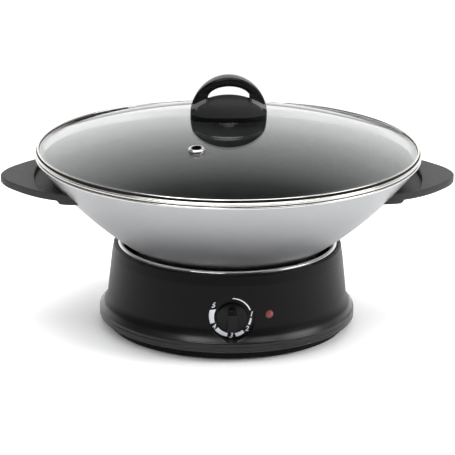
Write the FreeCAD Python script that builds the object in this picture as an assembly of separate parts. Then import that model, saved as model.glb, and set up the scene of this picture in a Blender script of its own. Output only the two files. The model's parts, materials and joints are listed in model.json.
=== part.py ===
import FreeCAD, Part
import math
import os

# Electric wok: a loose wok pan with a lift-off glass lid, on a round heating base with a turn knob.
# Millimetres, +Z up. The origin is on the table under the middle of the base, and -Y is the front.

V = FreeCAD.Vector
UP = V(0, 0, 1)
MIDDLE = V(0, 0, 0)

# General fits
slip = 0.3             # gap between loose or moulded pieces
snug = 0.1             # gap round a fastener or a pin that does not turn
running = 0.05         # radial gap of a shaft that turns
shell_wall = 2.5       # moulded plastic wall
sheet = 1.5            # bracket sheet
dish_sheet = 0.8

# Feet and base plate
foot_h = 2.0
foot_r = 8.0
foot_circle_in = 17.0  # from the plate's edge
foot_recess = 0.8
plate_in = 7.9         # from the housing's lip
plate_skirt_h = 8.0
plate_wall = 2.2
plate_flange_h = 2.0
vent_count = 10
vent_w = 4.0
vent_inner_r = 38.0
vent_outer_r = 66.0
vent_first = 189.0
vent_step = 18.0

# Housing: heights above the bottom of its lip, and how far each part of the outline
# stands out from the one above it, from the ring's well down to the lip
housing_h = 70.0
rim_out = 3.5
shoulder_out = 1.2
wall_foot_out = 3.9
valley_out = 1.0
flare_high_out = 1.9
flare_low_out = 3.5
lip_out = 1.3
lip_edge = 0.8
groove_depth = 0.4
groove_up = 5.4
toe_up = 7.4
flare_low_up = 9.9
flare_high_up = 13.7
valley_up = 17.6
wall_foot_up = 23.0
shoulder_drop = 10.0
rim_round = 1.5
ring_rebate = 3.3      # how deep the dish's rolled rim sits below the top of the housing
ring_gap = 1.1
seat_land = 3.0
seat_ledge_w = 2.2

# Reflector dish
roll_r = 1.9
roll_out = 2.2         # roll's centre beyond the dish's mouth
dish_drop = 22.9       # from the housing's land to the top of the dish floor
dish_mouth_out = 7.4   # beyond the dish's floor
dish_floor_r = 91.0
dish_corner_r = 4.0
lug_r = 4.0
lug_out = 3.0          # beyond the dish's floor
lug_sweep = 10.0
lug_start = 89.0
lug_drop = 0.7         # lug centre below the land
spoke_step = 120.0

# Posts between the dish and the base plate
post_circle_r = 78.0
post_r = 4.5
post_screw_r = 2.0
head_r = 3.6
head_h = 2.0
thread_depth = 8.0

# Heating element
tube_r = 4.0
element_outer_r = 60.0
element_inner_r = 38.0
element_lift = 9.4     # tube centre above the dish floor
element_flat = 0.7     # cut off the top of the tube, where the pan stands
leg_bend_r = 8.0
leg_length = 17.0
outer_start = 99.0
outer_sweep = 321.0
inner_sweep = 305.0
bush_r = 7.0
bush_h = 9.0
blade_w = 6.3
blade_t = 0.8
blade_l = 9.0

# Element supports
support_inner_r = 31.0
support_outer_r = 67.0
support_h = 8.6
support_foot_w = 10.0
support_foot_l = 14.0
rivet_r = 1.6
rivet_head_r = 3.0
rivet_head_h = 1.0

# Controls on the front wall
dial_up = 31.0         # above the housing's lip
pocket_r = 21.4
pocket_face_in = 4.4   # from the foot of the wall
pocket_wall = 2.5
knob_base_r = 13.0
knob_face_r = 12.0
knob_base_h = 2.4
knob_h = 9.5
knob_gap = 0.8
knob_dish = 3.4
knob_rim = 1.3
grip_w = 10.0
grip_h = 14.5
grip_l = 16.0
grip_round = 1.3
hub_r = 5.4
spindle_r = 3.0
spindle_flat = 2.2
spindle_l = 20.0
spindle_out = 10.5     # above the pocket's face
bushing_r = 4.6
clip_t = 0.5

# Thermostat behind the dial
stat_gap = 4.3         # boss length behind the pocket wall
stat_w = 28.0
stat_d = 21.0
stat_h = 19.0
bracket_w = 50.0
bracket_h = 16.0
small_screw_r = 1.25
small_head_r = 2.7
small_head_h = 1.8
boss_x = 20.0
boss_r = 3.6
stat_blade_x = 8.0
stat_blade_drop = 5.0

# Heat sensor
bulb_r = 2.5
bulb_l = 36.0
bulb_start_y = -14.0
capillary_r = 0.9
capillary_bend = 5.0
capillary_up = 3.0
sensor_rise_y = -24.0
sensor_clip_w = 8.0
sensor_clip_y = 8.0

# Thermal fuse sleeve under the dish
fuse_r = 3.0
fuse_l = 24.0
fuse_x = 10.0
fuse_y = 10.0
fuse_strap_w = 8.0
strap_t = 0.9
strap_reach = 9.0

# Pilot lamp
lamp_turn = 17.8       # round the wall from the dial
lamp_up = 32.6
lens_r = 3.1
lens_flange_r = 3.7
lens_flange_h = 1.1
lens_seat = 0.6
lens_dome = 1.0
lens_l = 9.0
neon_r = 2.4
neon_l = 12.0

# Cord gland and terminal block at the back
gland_up = 28.0
gland_face_in = 4.8    # from the foot of the wall
gland_seat_r = 11.0
gland_neck_r = 7.0
gland_flange_r = 9.5
gland_flange_h = 3.0
gland_bore_r = 3.8
gland_nut_h = 5.0
block_x = 45.0
block_y = 60.0
block_w = 32.0
block_d = 16.0
block_h = 14.0
way_count = 3
way_step = 9.5
way_r = 2.6
way_floor = 0.6        # of the block's height, where the screw heads sit
way_middle = 0.35      # of the block's height, where the leads lie
lead_grip = 3.0        # how far a lead reaches past the middle of the block
ear_r = 4.5
ear_up = 4.0
ear_t = 3.0

# Leads
lead_r = 1.3
lead_bend = 7.0
lamp_lead_r = 0.8
lamp_lead_bend = 4.0
earth_x = -42.0
earth_y = 20.0

# Wok pan
pan_depth = 98.5
pan_flat_r = 69.3
pan_arc_r = 344.6
pan_wall = 2.8
pan_floor = 3.5
pan_rim_r = 180.0
rim_bead = 2.1
rim_turn = 0.7         # how far the top of the rim lies in from its widest
rim_overhang = 1.5     # how far the rim stands out from the top of the wall
pan_wall_top_drop = 1.5

# Handles, placed from the widest of the pan's rim outwards or inwards, and as drops below it
handle_top_drop = 19.7
handle_thick = 6.8
handle_edge = 1.0
wing_out = 31.5
wing_side = [(-52.0, 72.0), (-38.0, 71.6), (-28.0, 69.8), (-19.0, 65.8), (-10.0, 60.6), (0.0, 52.8),
             (10.0, 42.5), (19.0, 31.0), (25.5, 21.0), (29.8, 10.0)]
wing_core_in = 72.0    # the wing's blank ends here, well inside the pan
cove_w = 28.0          # from below the rim inwards
cove_lip = 1.6
cove_outer_drop = 24.2
cove_inner_drop = 25.0
rail_w = 3.4           # wall between the cove and the wing's outline
toe_drop = 29.2
toe_in = 24.5
toe_chamfer = 2.6
toe_half_y = 60.0
boss_half_w = 18.0
handle_boss_drop = 37.5
boss_inner_in = 34.0
boss_outer_in = 10.0
tongue_t = 2.0
tongue_w = 24.0
tongue_end_in = 12.0
tongue_drop = 33.0     # underside of the tongue below the rim
foot_plate_w = 32.0
foot_plate_low = 42.5
foot_plate_high = 29.0
handle_screw_in = 18.5
handle_screw_r = 2.5
handle_head_r = 4.5
handle_head_h = 2.2

# Lid
band_h = 6.5
band_overhang = 0.5    # beyond the pan's rim
band_wall = 2.2        # from the glass edge out
band_cover = 3.1       # from the glass edge in, over the flange
band_leg = 1.1
band_lip = 1.4
band_waist = 4.5       # groove between the two ribs, above the pan's rim
band_waist_depth = 0.9
band_hook_in = 6.8     # from the pan's rim in
band_hook_h = 1.8
band_sheet = 0.8
glass_t = 4.0
glass_flange_w = 5.6
dome_rise = 28.2
glass_hole_r = 4.0
vent_x = -32.2
vent_y = -83.7
eyelet_r = 7.5
eyelet_h = 2.2
eyelet_neck_r = 5.4
eyelet_bore_r = 4.4
eyelet_tuck_r = 6.6
eyelet_tuck_h = 1.0

# Lid knob
grip_half_l = 35.5
grip_half_w = 16.5
skirt_h = 4.5
pebble_h = 17.5
arch_rise = 35.8
arch_half_d = 9.0
arch_round = 1.1
window_half_w = 20.3
window_sill = 15.7
window_rise = 13.5
ledge_half_d = 13.4
ledge_top = 16.4
ledge_end_x = 33.8
ledge_end_top = 8.2
ledge_fall = 3.9
lid_screw_r = 2.5
lid_screw_l = 20.0
lid_head_r = 5.0
lid_head_h = 3.0
washer_r = 9.0
washer_t = 1.2
seal_r = 8.0
seal_t = 1.5

# Radii and places that follow from the ones above
dish_mouth_r = dish_floor_r + dish_mouth_out
lug_centre_r = dish_floor_r + lug_out
roll_centre_r = dish_mouth_r + roll_out
lip_in_r = roll_centre_r + roll_r + ring_gap
rim_r = lip_in_r + rim_out
shoulder_r = rim_r + shoulder_out
wall_foot_r = shoulder_r + wall_foot_out
valley_r = wall_foot_r + valley_out
flare_high_r = valley_r + flare_high_out
flare_low_r = flare_high_r + flare_low_out
lip_r = flare_low_r + lip_out
plate_r = lip_r - plate_in
foot_circle_r = plate_r - foot_circle_in
pocket_face_y = wall_foot_r - pocket_face_in
gland_face_y = wall_foot_r - gland_face_in
seat_ledge_r = lip_r - shell_wall - seat_ledge_w
rim_land_r = pan_rim_r - rim_turn
pan_wall_top_r = pan_rim_r - rim_overhang
wing_tip = pan_rim_r + wing_out
cove_inner_r = pan_rim_r - cove_w
toe_x = pan_rim_r - toe_in
handle_core_x = pan_rim_r - wing_core_in
handle_boss_in = pan_rim_r - boss_inner_in
handle_boss_out = pan_rim_r - boss_outer_in
tongue_end = pan_rim_r - tongue_end_in
handle_screw_x = pan_rim_r - handle_screw_in
band_r = pan_rim_r + band_overhang
glass_r = band_r - band_wall
dome_r = glass_r - glass_flange_w
band_inner_r = glass_r - band_cover
band_hook_r = pan_rim_r - band_hook_in

# Heights, from the table up
plate_z = foot_h
lip_z = plate_z + plate_skirt_h
top_z = lip_z + housing_h
land_z = top_z - ring_rebate
dish_z = land_z - dish_drop
tube_z = dish_z + element_lift
pan_z = tube_z + tube_r - element_flat
rim_z = pan_z + pan_depth
glass_z = rim_z + band_leg
flange_z = glass_z + glass_t
apex_z = flange_z + dome_rise
knob_z = apex_z + skirt_h
dial_z = lip_z + dial_up
dome_radius = (dome_r ** 2 + dome_rise ** 2) / (2 * dome_rise)
dome_z = apex_z - dome_radius
plate_top_z = plate_z + plate_wall
seat_z = lip_z + plate_flange_h


def in_rz(r, z):
    return V(r, 0, z)


def in_xz(x, z):
    return V(x, 0, z)


def outline(place, start, steps):
    # A closed wire. A step is an end point, or a point on an arc and then its end point.
    edges = []
    here = start
    for step in steps + [(start,)]:
        end = step[-1]
        if end == here:
            continue
        if len(step) == 1:
            edges.append(Part.LineSegment(place(*here), place(*end)).toShape())
        else:
            edges.append(Part.Arc(place(*here), place(*step[0]), place(*end)).toShape())
        here = end
    return Part.Wire(edges)


def spun(start, steps):
    # A solid of revolution about the Z axis from its outline of radii and heights.
    return Part.Face(outline(in_rz, start, steps)).revolve(MIDDLE, UP, 360)


def dome_step(radius, z, rise):
    # An outline step over a ball-shaped cap, from its edge to the axis.
    ball_r = (radius ** 2 + rise ** 2) / (2 * rise)
    middle = z + rise - ball_r + math.sqrt(ball_r ** 2 - (radius / 2) ** 2)
    return ((radius / 2, middle), (0, z + rise))


def rod(radius, z0, z1, x=0.0, y=0.0):
    return Part.makeCylinder(radius, z1 - z0, V(x, y, z0))


def tube(outer, inner, z0, z1, x=0.0, y=0.0):
    return rod(outer, z0, z1, x, y).cut(rod(inner, z0 - 1, z1 + 1, x, y))


def block(x0, x1, y0, y1, z0, z1):
    return Part.makeBox(x1 - x0, y1 - y0, z1 - z0, V(x0, y0, z0))


def turned(shape, degrees, centre=MIDDLE, axis=UP):
    copy = shape.copy()
    copy.rotate(centre, axis, degrees)
    return copy


def moved(shape, x=0.0, y=0.0, z=0.0):
    copy = shape.copy()
    copy.translate(V(x, y, z))
    return copy


def spread(shape, count, start=0.0):
    # Equal copies round the Z axis.
    return [turned(shape, start + 360.0 * i / count) for i in range(count)]


def group(shapes):
    return Part.makeCompound(shapes)


def fused(shapes):
    return shapes[0].multiFuse(shapes[1:]).removeSplitter()


def bent_tube(start, ahead, radius, steps):
    # A round tube of straight runs (length,) and turns (axis, bend radius, degrees).
    pieces = []
    here = start
    for step in steps:
        section = Part.Face(Part.Wire(Part.makeCircle(radius, here, ahead)))
        if len(step) == 1:
            pieces.append(section.extrude(ahead * step[0]))
            here = here + ahead * step[0]
        else:
            axis, bend_r, degrees = step
            centre = here + axis.cross(ahead) * bend_r
            pieces.append(section.revolve(centre, axis, degrees))
            turn = FreeCAD.Rotation(axis, degrees)
            here = centre + turn.multVec(here - centre)
            ahead = turn.multVec(ahead)
    return fused(pieces) if len(pieces) > 1 else pieces[0]


def routed_tube(points, radius, bend_r):
    # A tube along straight runs, with one tangent arc at each corner.
    corners = [V(*p) for p in points]
    steps = []
    used = 0.0
    for before, here, after in zip(corners, corners[1:], corners[2:]):
        way_in = (here - before).normalize()
        way_out = (after - here).normalize()
        angle = way_in.getAngle(way_out)
        setback = bend_r * math.tan(angle / 2)
        steps.append(((here - before).Length - used - setback,))
        steps.append((way_in.cross(way_out).normalize(), bend_r, math.degrees(angle)))
        used = setback
    steps.append(((corners[-1] - corners[-2]).Length - used,))
    return bent_tube(corners[0], (corners[1] - corners[0]).normalize(), radius, steps)


def screw(shank_r, length, screw_head_r, screw_head_h):
    # Head above the XY plane, shank below it, with a cross recess in the head.
    body = rod(shank_r, -length, 0).fuse(rod(screw_head_r, 0, screw_head_h))
    slot_w = screw_head_r * 0.3
    slot_l = screw_head_r * 0.6
    slot_z = screw_head_h * 0.5
    body = body.cut(block(-slot_l, slot_l, -slot_w / 2, slot_w / 2, slot_z, screw_head_h + 1))
    return body.cut(block(-slot_w / 2, slot_w / 2, -slot_l, slot_l, slot_z, screw_head_h + 1))


def upside_down(shape):
    return turned(shape, 180, MIDDLE, V(1, 0, 0))


# --- base ---

def housing_outer():
    # Outer outline of the housing from the inside of its rim down to the bottom of its lip.
    return [
        ((lip_in_r, top_z - rim_round * 0.5),),
        ((lip_in_r + 1.7, top_z), (rim_r - 0.2, top_z - rim_round)),
        ((shoulder_r, top_z - shoulder_drop),),
        ((wall_foot_r, lip_z + wall_foot_up),),
        ((valley_r, lip_z + valley_up), (flare_high_r, lip_z + flare_high_up)),
        ((flare_low_r, lip_z + flare_low_up),),
        ((lip_r - 0.35, lip_z + (flare_low_up + toe_up) / 2 + 0.3), (lip_r, lip_z + toe_up)),
        ((lip_r, lip_z + groove_up + groove_depth),),
        ((lip_r - groove_depth, lip_z + groove_up),),
        ((lip_r, lip_z + groove_up - groove_depth),),
        ((lip_r, lip_z + lip_edge),),
        ((lip_r - lip_edge, lip_z),),
    ]


def wall_r(z):
    # Outer radius of the plain wall between its foot and its shoulder.
    share = (z - lip_z - wall_foot_up) / (top_z - shoulder_drop - lip_z - wall_foot_up)
    return wall_foot_r + (shoulder_r - wall_foot_r) * share


def facing_out(shape, z, distance):
    # Takes a piece made with +Z outwards and +Y up to the front wall.
    return moved(turned(shape, 90, MIDDLE, V(1, 0, 0)), 0, -distance, z)


def at_dial(shape):
    return facing_out(shape, dial_z, pocket_face_y)


def at_lamp(shape):
    return turned(facing_out(shape, lip_z + lamp_up, wall_r(lip_z + lamp_up)), lamp_turn)


def at_gland(shape):
    return turned(facing_out(shape, lip_z + gland_up, gland_face_y), 180)


def base_housing():
    inner = [
        ((lip_r - shell_wall, lip_z),),
        ((lip_r - shell_wall, seat_z),),
        ((seat_ledge_r, seat_z),),
        ((seat_ledge_r, lip_z + toe_up),),
        ((flare_high_r - shell_wall, lip_z + flare_high_up),),
        ((wall_foot_r - shell_wall, lip_z + wall_foot_up),),
        ((shoulder_r - shell_wall, top_z - shoulder_drop),),
        ((lip_in_r, land_z - seat_land),),
        ((dish_mouth_r + slip * 3, land_z - seat_land),),
    ]
    land_start = (dish_mouth_r + slip * 3, land_z)
    shell = spun(land_start, [((lip_in_r, land_z),)] + housing_outer() + inner)
    filled = spun((0, lip_z), [((0, land_z),), ((lip_in_r, land_z),)] + housing_outer())
    plug = rod(pocket_r + shell_wall, -pocket_wall, 20)
    seat = rod(gland_seat_r + shell_wall, -pocket_wall, 20)
    shell = shell.fuse(at_dial(plug).common(filled)).fuse(at_gland(seat).common(filled))
    for side in (-1, 1):
        shell = shell.fuse(at_dial(rod(boss_r, -pocket_wall - stat_gap, -pocket_wall, side * boss_x)))
    shell = shell.cut(at_dial(rod(pocket_r, 0, 20))).cut(at_gland(rod(gland_seat_r, 0, 20)))
    shell = shell.cut(at_dial(rod(bushing_r + slip, -10, 5)))
    shell = shell.cut(at_gland(rod(gland_neck_r + snug, -10, 5)))
    shell = shell.cut(at_lamp(rod(lens_r + snug, -10, 5)))
    shell = shell.cut(at_lamp(rod(lens_flange_r + snug, -lens_seat, 5)))
    for side in (-1, 1):
        hole = rod(small_screw_r + running, -pocket_wall - stat_gap - 1, -1.0, side * boss_x)
        shell = shell.cut(at_dial(hole))
    return shell.removeSplitter()


def base_plate():
    flange_r = lip_r - shell_wall - slip
    tray = spun((0, plate_z), [
        ((plate_r - 1.0, plate_z),),
        ((plate_r, plate_z + 1.0),),
        ((plate_r, lip_z),),
        ((flange_r, lip_z),),
        ((flange_r, seat_z),),
        ((plate_r - plate_wall, seat_z),),
        ((plate_r - plate_wall, plate_top_z),),
        ((0, plate_top_z),),
    ])
    slot = block(vent_inner_r, vent_outer_r, -vent_w / 2, vent_w / 2, plate_z - 1, plate_top_z + 1)
    for end_r in (vent_inner_r, vent_outer_r):
        slot = slot.fuse(rod(vent_w / 2, plate_z - 1, plate_top_z + 1, end_r))
    for i in range(vent_count):
        tray = tray.cut(turned(slot, vent_first + i * vent_step))
    for recess in spread(rod(foot_r + snug, plate_z - 1, plate_z + foot_recess, foot_circle_r), 4, 45):
        tray = tray.cut(recess)
    pad = rod(post_r + 3, plate_top_z, plate_top_z + head_h, post_circle_r)
    hole = rod(post_screw_r + snug, plate_z - 1, plate_top_z + head_h + 1, post_circle_r)
    well = rod(head_r + slip, plate_z - 1, plate_z + head_h + slip, post_circle_r)
    for boss, bore, sink in zip(spread(pad, 3), spread(hole, 3), spread(well, 3)):
        tray = tray.fuse(boss).cut(bore).cut(sink)
    for x in ear_places():
        tray = tray.fuse(rod(ear_r - 1.0, plate_top_z, plate_top_z + ear_up, x, block_y))
        tray = tray.cut(rod(small_screw_r + running, plate_top_z, plate_top_z + ear_up + 1, x, block_y))
    return tray.removeSplitter()


def rubber_feet():
    foot = spun((0, 0), [
        ((foot_r - 1.0, 0),),
        ((foot_r, 1.0),),
        ((foot_r, foot_h + foot_recess),),
        ((0, foot_h + foot_recess),),
    ])
    return group(spread(moved(foot, foot_circle_r), 4, 45))


def spacer_posts():
    low = plate_top_z + head_h
    high = dish_z - dish_sheet
    post = rod(post_r, low, high, post_circle_r)
    post = post.cut(rod(post_screw_r + running, low - 1, low + thread_depth, post_circle_r))
    post = post.cut(rod(post_screw_r + running, high - thread_depth, high + 1, post_circle_r))
    return group(spread(post, 3))


def dish_screws():
    one = moved(screw(post_screw_r, dish_sheet + thread_depth - 1, head_r, head_h), post_circle_r, 0, dish_z)
    return group(spread(one, 3))


def base_plate_screws():
    length = plate_wall - slip + thread_depth - 1
    one = upside_down(screw(post_screw_r, length, head_r, head_h))
    return group(spread(moved(one, post_circle_r, 0, plate_z + head_h + slip), 3))


def dish_lug():
    # One pressed lug that centres the pan: a short bent ridge with round ends.
    centre = V(lug_centre_r, 0, land_z - lug_drop)
    ridge = Part.Face(Part.Wire(Part.makeCircle(lug_r, centre, V(0, 1, 0)))).revolve(MIDDLE, UP, lug_sweep)
    first = Part.makeSphere(lug_r, centre)
    return fused([ridge, first, turned(first, lug_sweep)])


def reflector_dish():
    floor = dish_z - dish_sheet
    corner = dish_corner_r * 0.3
    roll_z = land_z + roll_r + running
    sheet_r = dish_floor_r + dish_sheet
    bowl = spun((0, floor), [
        ((sheet_r - dish_corner_r, floor),),
        ((sheet_r - corner, floor + corner), (sheet_r, floor + dish_corner_r)),
        ((dish_mouth_r, roll_z - roll_r * 0.5),),
        ((dish_mouth_r, roll_z + roll_r * 0.3),),
        ((dish_mouth_r - dish_sheet, roll_z + roll_r * 0.3),),
        ((dish_mouth_r - dish_sheet, roll_z - roll_r * 0.5),),
        ((dish_floor_r, floor + dish_corner_r),),
        ((dish_floor_r - corner, dish_z + corner), (dish_floor_r - dish_corner_r, dish_z),),
        ((0, dish_z),),
    ])
    roll = Part.makeTorus(roll_centre_r, roll_r, V(0, 0, roll_z))
    web = spun((dish_mouth_r - dish_sheet, roll_z), [
        ((roll_centre_r, roll_z),),
        ((roll_centre_r, roll_z + roll_r * 0.5),),
        ((dish_mouth_r - dish_sheet, roll_z + roll_r * 0.3),),
    ])
    bowl = bowl.fuse(web).fuse(roll)
    outside = spun((dish_floor_r, dish_z), [
        ((dish_mouth_r - dish_sheet / 2, roll_z - roll_r * 0.5),),
        ((dish_mouth_r - dish_sheet / 2, roll_z + roll_r),),
        ((dish_mouth_r - 30, roll_z + roll_r),),
        ((dish_mouth_r - 30, dish_z),),
    ])
    lug = dish_lug().common(outside)
    for angle in range(3):
        bowl = bowl.fuse(turned(lug, lug_start + angle * spoke_step))
    for hole in spread(rod(post_screw_r + snug, floor - 1, dish_z + 1, post_circle_r), 3):
        bowl = bowl.cut(hole)
    for hole in spread(rod(rivet_r + running, floor - 1, dish_z + 1, support_mid_r(), rivet_side()), 3):
        bowl = bowl.cut(hole)
    for x, y in leg_places():
        bowl = bowl.cut(rod(bush_r - 1.5 + snug, floor - 1, dish_z + 1, x, y))
    bowl = bowl.cut(rod(capillary_r + 1.0, floor - 1, dish_z + 1, 0, sensor_rise_y))
    bowl = bowl.cut(rod(rivet_r + running, floor - 1, dish_z + 1, earth_x, earth_y))
    return bowl.removeSplitter()


# --- heating element and what holds it ---

def at_angle(radius, degrees, z=0.0):
    return V(radius * math.cos(math.radians(degrees)), radius * math.sin(math.radians(degrees)), z)


def leg_places():
    # Where the two cold legs go down through the dish.
    inner_end = outer_start + outer_sweep - inner_sweep
    places = []
    for radius, angle in ((element_outer_r, outer_start), (element_inner_r, inner_end)):
        spot = at_angle(radius, angle) - at_angle(leg_bend_r, angle + 90)
        places.append((spot.x, spot.y))
    return places


def heating_element():
    # From the outer leg's foot: up, round the outer ring, back round the inner ring and down again.
    start_angle = outer_start
    x, y = leg_places()[0]
    ahead = at_angle(1, start_angle + 90)
    rise_axis = UP.cross(ahead)
    u_turn_r = (element_outer_r - element_inner_r) / 2
    fall_axis = at_angle(1, outer_start + outer_sweep - inner_sweep)
    element = bent_tube(V(x, y, tube_z - leg_bend_r - leg_length), UP, tube_r, [
        (leg_length,),
        (rise_axis, leg_bend_r, 90),
        (UP, element_outer_r, outer_sweep),
        (UP, u_turn_r, 180),
        (UP * -1, element_inner_r, inner_sweep),
        (fall_axis, leg_bend_r, 90),
        (leg_length,),
    ])
    reach = element_outer_r + tube_r * 2
    top = block(-reach, reach, -reach, reach, pan_z, pan_z + tube_r)
    return element.cut(top)


def ceramic_bushes():
    bushes = []
    low = dish_z - dish_sheet - bush_h + 3
    for x, y in leg_places():
        neck = rod(bush_r - 1.5, low, dish_z + 1.2, x, y)
        collar = rod(bush_r, low, dish_z - dish_sheet, x, y)
        bushes.append(neck.fuse(collar).cut(rod(tube_r + snug, low - 1, dish_z + 5, x, y)).removeSplitter())
    return group(bushes)


def element_blades():
    high = tube_z - leg_bend_r - leg_length
    return group([
        block(x - blade_w / 2, x + blade_w / 2, y - blade_t / 2, y + blade_t / 2, high - blade_l, high)
        for x, y in leg_places()
    ])


def support_mid_r():
    return (element_inner_r + element_outer_r) / 2


def rivet_side():
    return (sheet + support_foot_w) / 2


def element_supports():
    # An upright plate with two notches for the tube and a foot bent to one side.
    mid = support_mid_r()
    plate = block(support_inner_r, support_outer_r, -sheet / 2, sheet / 2, dish_z, dish_z + support_h)
    foot = block(mid - support_foot_l / 2, mid + support_foot_l / 2,
                 sheet / 2, sheet / 2 + support_foot_w, dish_z, dish_z + sheet)
    support = plate.fuse(foot)
    for radius in (element_inner_r, element_outer_r):
        ring = Part.makeTorus(radius, tube_r + snug, V(0, 0, tube_z))
        opening = tube(radius + tube_r + snug, radius - tube_r - snug, tube_z, tube_z + tube_r)
        support = support.cut(ring).cut(opening)
    support = support.cut(rod(rivet_r + running, dish_z - 1, dish_z + sheet + 1, mid, rivet_side()))
    return group(spread(support.removeSplitter(), 3))


def support_rivets():
    low = dish_z - dish_sheet
    high = dish_z + sheet
    rivet = rod(rivet_r, low, high).fuse(rod(rivet_head_r, high, high + rivet_head_h))
    rivet = rivet.fuse(rod(rivet_head_r, low - rivet_head_h, low)).removeSplitter()
    return group(spread(moved(rivet, support_mid_r(), rivet_side()), 3))


# --- controls ---

def thermostat_body():
    low = -pocket_wall - stat_gap - sheet
    can = block(-stat_w / 2, stat_w / 2, -stat_h / 2, stat_h / 2, low - stat_d, low)
    neck = rod(bushing_r, low, -1.0)
    body = can.fuse(neck)
    for side in (-1, 1):
        blade = block(side * stat_blade_x - blade_w / 2, side * stat_blade_x + blade_w / 2,
                      -stat_blade_drop - blade_t / 2, -stat_blade_drop + blade_t / 2,
                      low - stat_d - blade_l, low - stat_d)
        body = body.fuse(blade)
    bore = rod(spindle_r + running, spindle_out - spindle_l - snug, 5)
    return at_dial(body.cut(bore).removeSplitter())


def thermostat_bracket():
    back = -pocket_wall - stat_gap - sheet
    plate = block(-bracket_w / 2, bracket_w / 2, -bracket_h / 2, bracket_h / 2, back, back + sheet)
    plate = plate.cut(rod(bushing_r + snug, back - 1, back + 3))
    for side in (-1, 1):
        plate = plate.cut(rod(small_screw_r + snug, back - 1, back + 3, side * boss_x))
    return at_dial(plate)


def thermostat_screws():
    back = -pocket_wall - stat_gap - sheet
    one = upside_down(screw(small_screw_r, sheet + stat_gap + 0.8, small_head_r, small_head_h))
    return group([at_dial(moved(one, side * boss_x, 0, back)) for side in (-1, 1)])


def d_shaft(radius, flat, z0, z1):
    return rod(radius, z0, z1).cut(block(-radius * 2, radius * 2, flat, radius * 2, z0 - 1, z1 + 1))


def thermostat_spindle():
    low = spindle_out - spindle_l
    round_part = rod(spindle_r, low, knob_gap)
    return at_dial(round_part.fuse(d_shaft(spindle_r, spindle_flat, knob_gap, spindle_out)).removeSplitter())


def knob_clip_shape(grow):
    # Flat leaf that presses on the spindle's flat.
    return block(-1.6 - grow, 1.6 + grow, spindle_flat + running, spindle_flat + running + clip_t + grow,
                 knob_gap + 1.0 - grow, spindle_out - 1.0 + grow)


def knob_spring_clip():
    return at_dial(knob_clip_shape(0))


def control_knob():
    low = knob_gap
    body = spun((0, low), [
        ((knob_base_r, low),),
        ((knob_base_r, low + knob_base_h - 0.6),),
        ((knob_base_r - 0.6, low + knob_base_h),),
        ((knob_face_r, low + knob_h - 0.8),),
        ((knob_face_r - 0.25, low + knob_h - 0.25), (knob_face_r - 0.8, low + knob_h),),
        ((knob_face_r - knob_rim, low + knob_h),),
        ((knob_face_r - knob_rim - 1.6, low + knob_h - knob_dish),),
        ((0, low + knob_h - knob_dish),),
    ])
    hollow = tube(knob_face_r - 2.4, hub_r, low - 1, low + knob_h - knob_dish - 2.0)
    body = body.cut(hollow)
    grip_r = grip_w / 2
    reach = grip_l / 2 - grip_r
    foot = low + knob_h - knob_dish - 0.5
    high = low + grip_h
    bar = fused([
        block(-grip_r, grip_r, -reach, reach, foot, high),
        rod(grip_r, foot, high, 0, reach),
        rod(grip_r, foot, high, 0, -reach),
    ])
    bar = bar.makeFillet(grip_round, [e for e in bar.Edges if e.BoundBox.ZMin > high - 0.01])
    body = body.fuse(bar)
    bore = d_shaft(spindle_r + running, spindle_flat + running, low - 1, spindle_out + snug)
    return at_dial(body.cut(bore).cut(knob_clip_shape(running)).removeSplitter())


def heat_sensor():
    # Capillary from the thermostat up through the dish, and the bulb under the middle of the pan.
    z_low = dial_z + capillary_up
    z_high = pan_z - slip - bulb_r
    back_y = -(pocket_face_y - pocket_wall - stat_gap - sheet - stat_d)
    thin = routed_tube([
        (0, back_y, z_low),
        (0, sensor_rise_y, z_low),
        (0, sensor_rise_y, z_high),
        (0, bulb_start_y, z_high),
    ], capillary_r, capillary_bend)
    bulb = Part.makeCylinder(bulb_r, bulb_l, V(0, bulb_start_y, z_high), V(0, 1, 0))
    return thin.fuse(bulb).removeSplitter()


def sensor_clip():
    z_high = pan_z - slip - bulb_r
    outer_r = bulb_r + sheet
    y0 = sensor_clip_y
    y1 = y0 + sensor_clip_w
    ring = Part.makeCylinder(outer_r, sensor_clip_w, V(0, y0, z_high), V(0, 1, 0))
    leg = block(-sheet / 2, sheet / 2, y0, y1, dish_z, z_high)
    foot = block(-5, 5, y0, y1, dish_z, dish_z + sheet)
    open_top = block(-outer_r, outer_r, y0 - 1, y1 + 1, z_high + bulb_r * 0.4, z_high + outer_r + 1)
    clip = ring.fuse(leg).fuse(foot).cut(open_top)
    return clip.cut(Part.makeCylinder(bulb_r + snug, 60, V(0, y0 - 20, z_high), V(0, 1, 0))).removeSplitter()


def fuse_z():
    return dish_z - dish_sheet - fuse_r - snug


def thermal_fuse():
    return Part.makeCylinder(fuse_r, fuse_l, V(fuse_x, fuse_y, fuse_z()), V(1, 0, 0))


def fuse_strap():
    # A strap that holds the fuse sleeve up against the dish floor.
    x0 = fuse_x + (fuse_l - fuse_strap_w) / 2
    x1 = x0 + fuse_strap_w
    z = fuse_z()
    high = dish_z - dish_sheet
    inner_r = fuse_r + snug
    outer_r = inner_r + strap_t
    half = Part.makeCylinder(outer_r, fuse_strap_w, V(x0, fuse_y, z), V(1, 0, 0))
    half = half.cut(Part.makeCylinder(inner_r, fuse_strap_w, V(x0, fuse_y, z), V(1, 0, 0)))
    half = half.cut(block(x0 - 1, x1 + 1, fuse_y - 20, fuse_y + 20, z, high + 5))
    pieces = [half]
    for side in (-1, 1):
        edges = sorted((fuse_y + side * inner_r, fuse_y + side * outer_r))
        pieces.append(block(x0, x1, edges[0], edges[1], z, high))
        edges = sorted((fuse_y + side * inner_r, fuse_y + side * strap_reach))
        pieces.append(block(x0, x1, edges[0], edges[1], high - strap_t, high))
    return fused(pieces)


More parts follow.
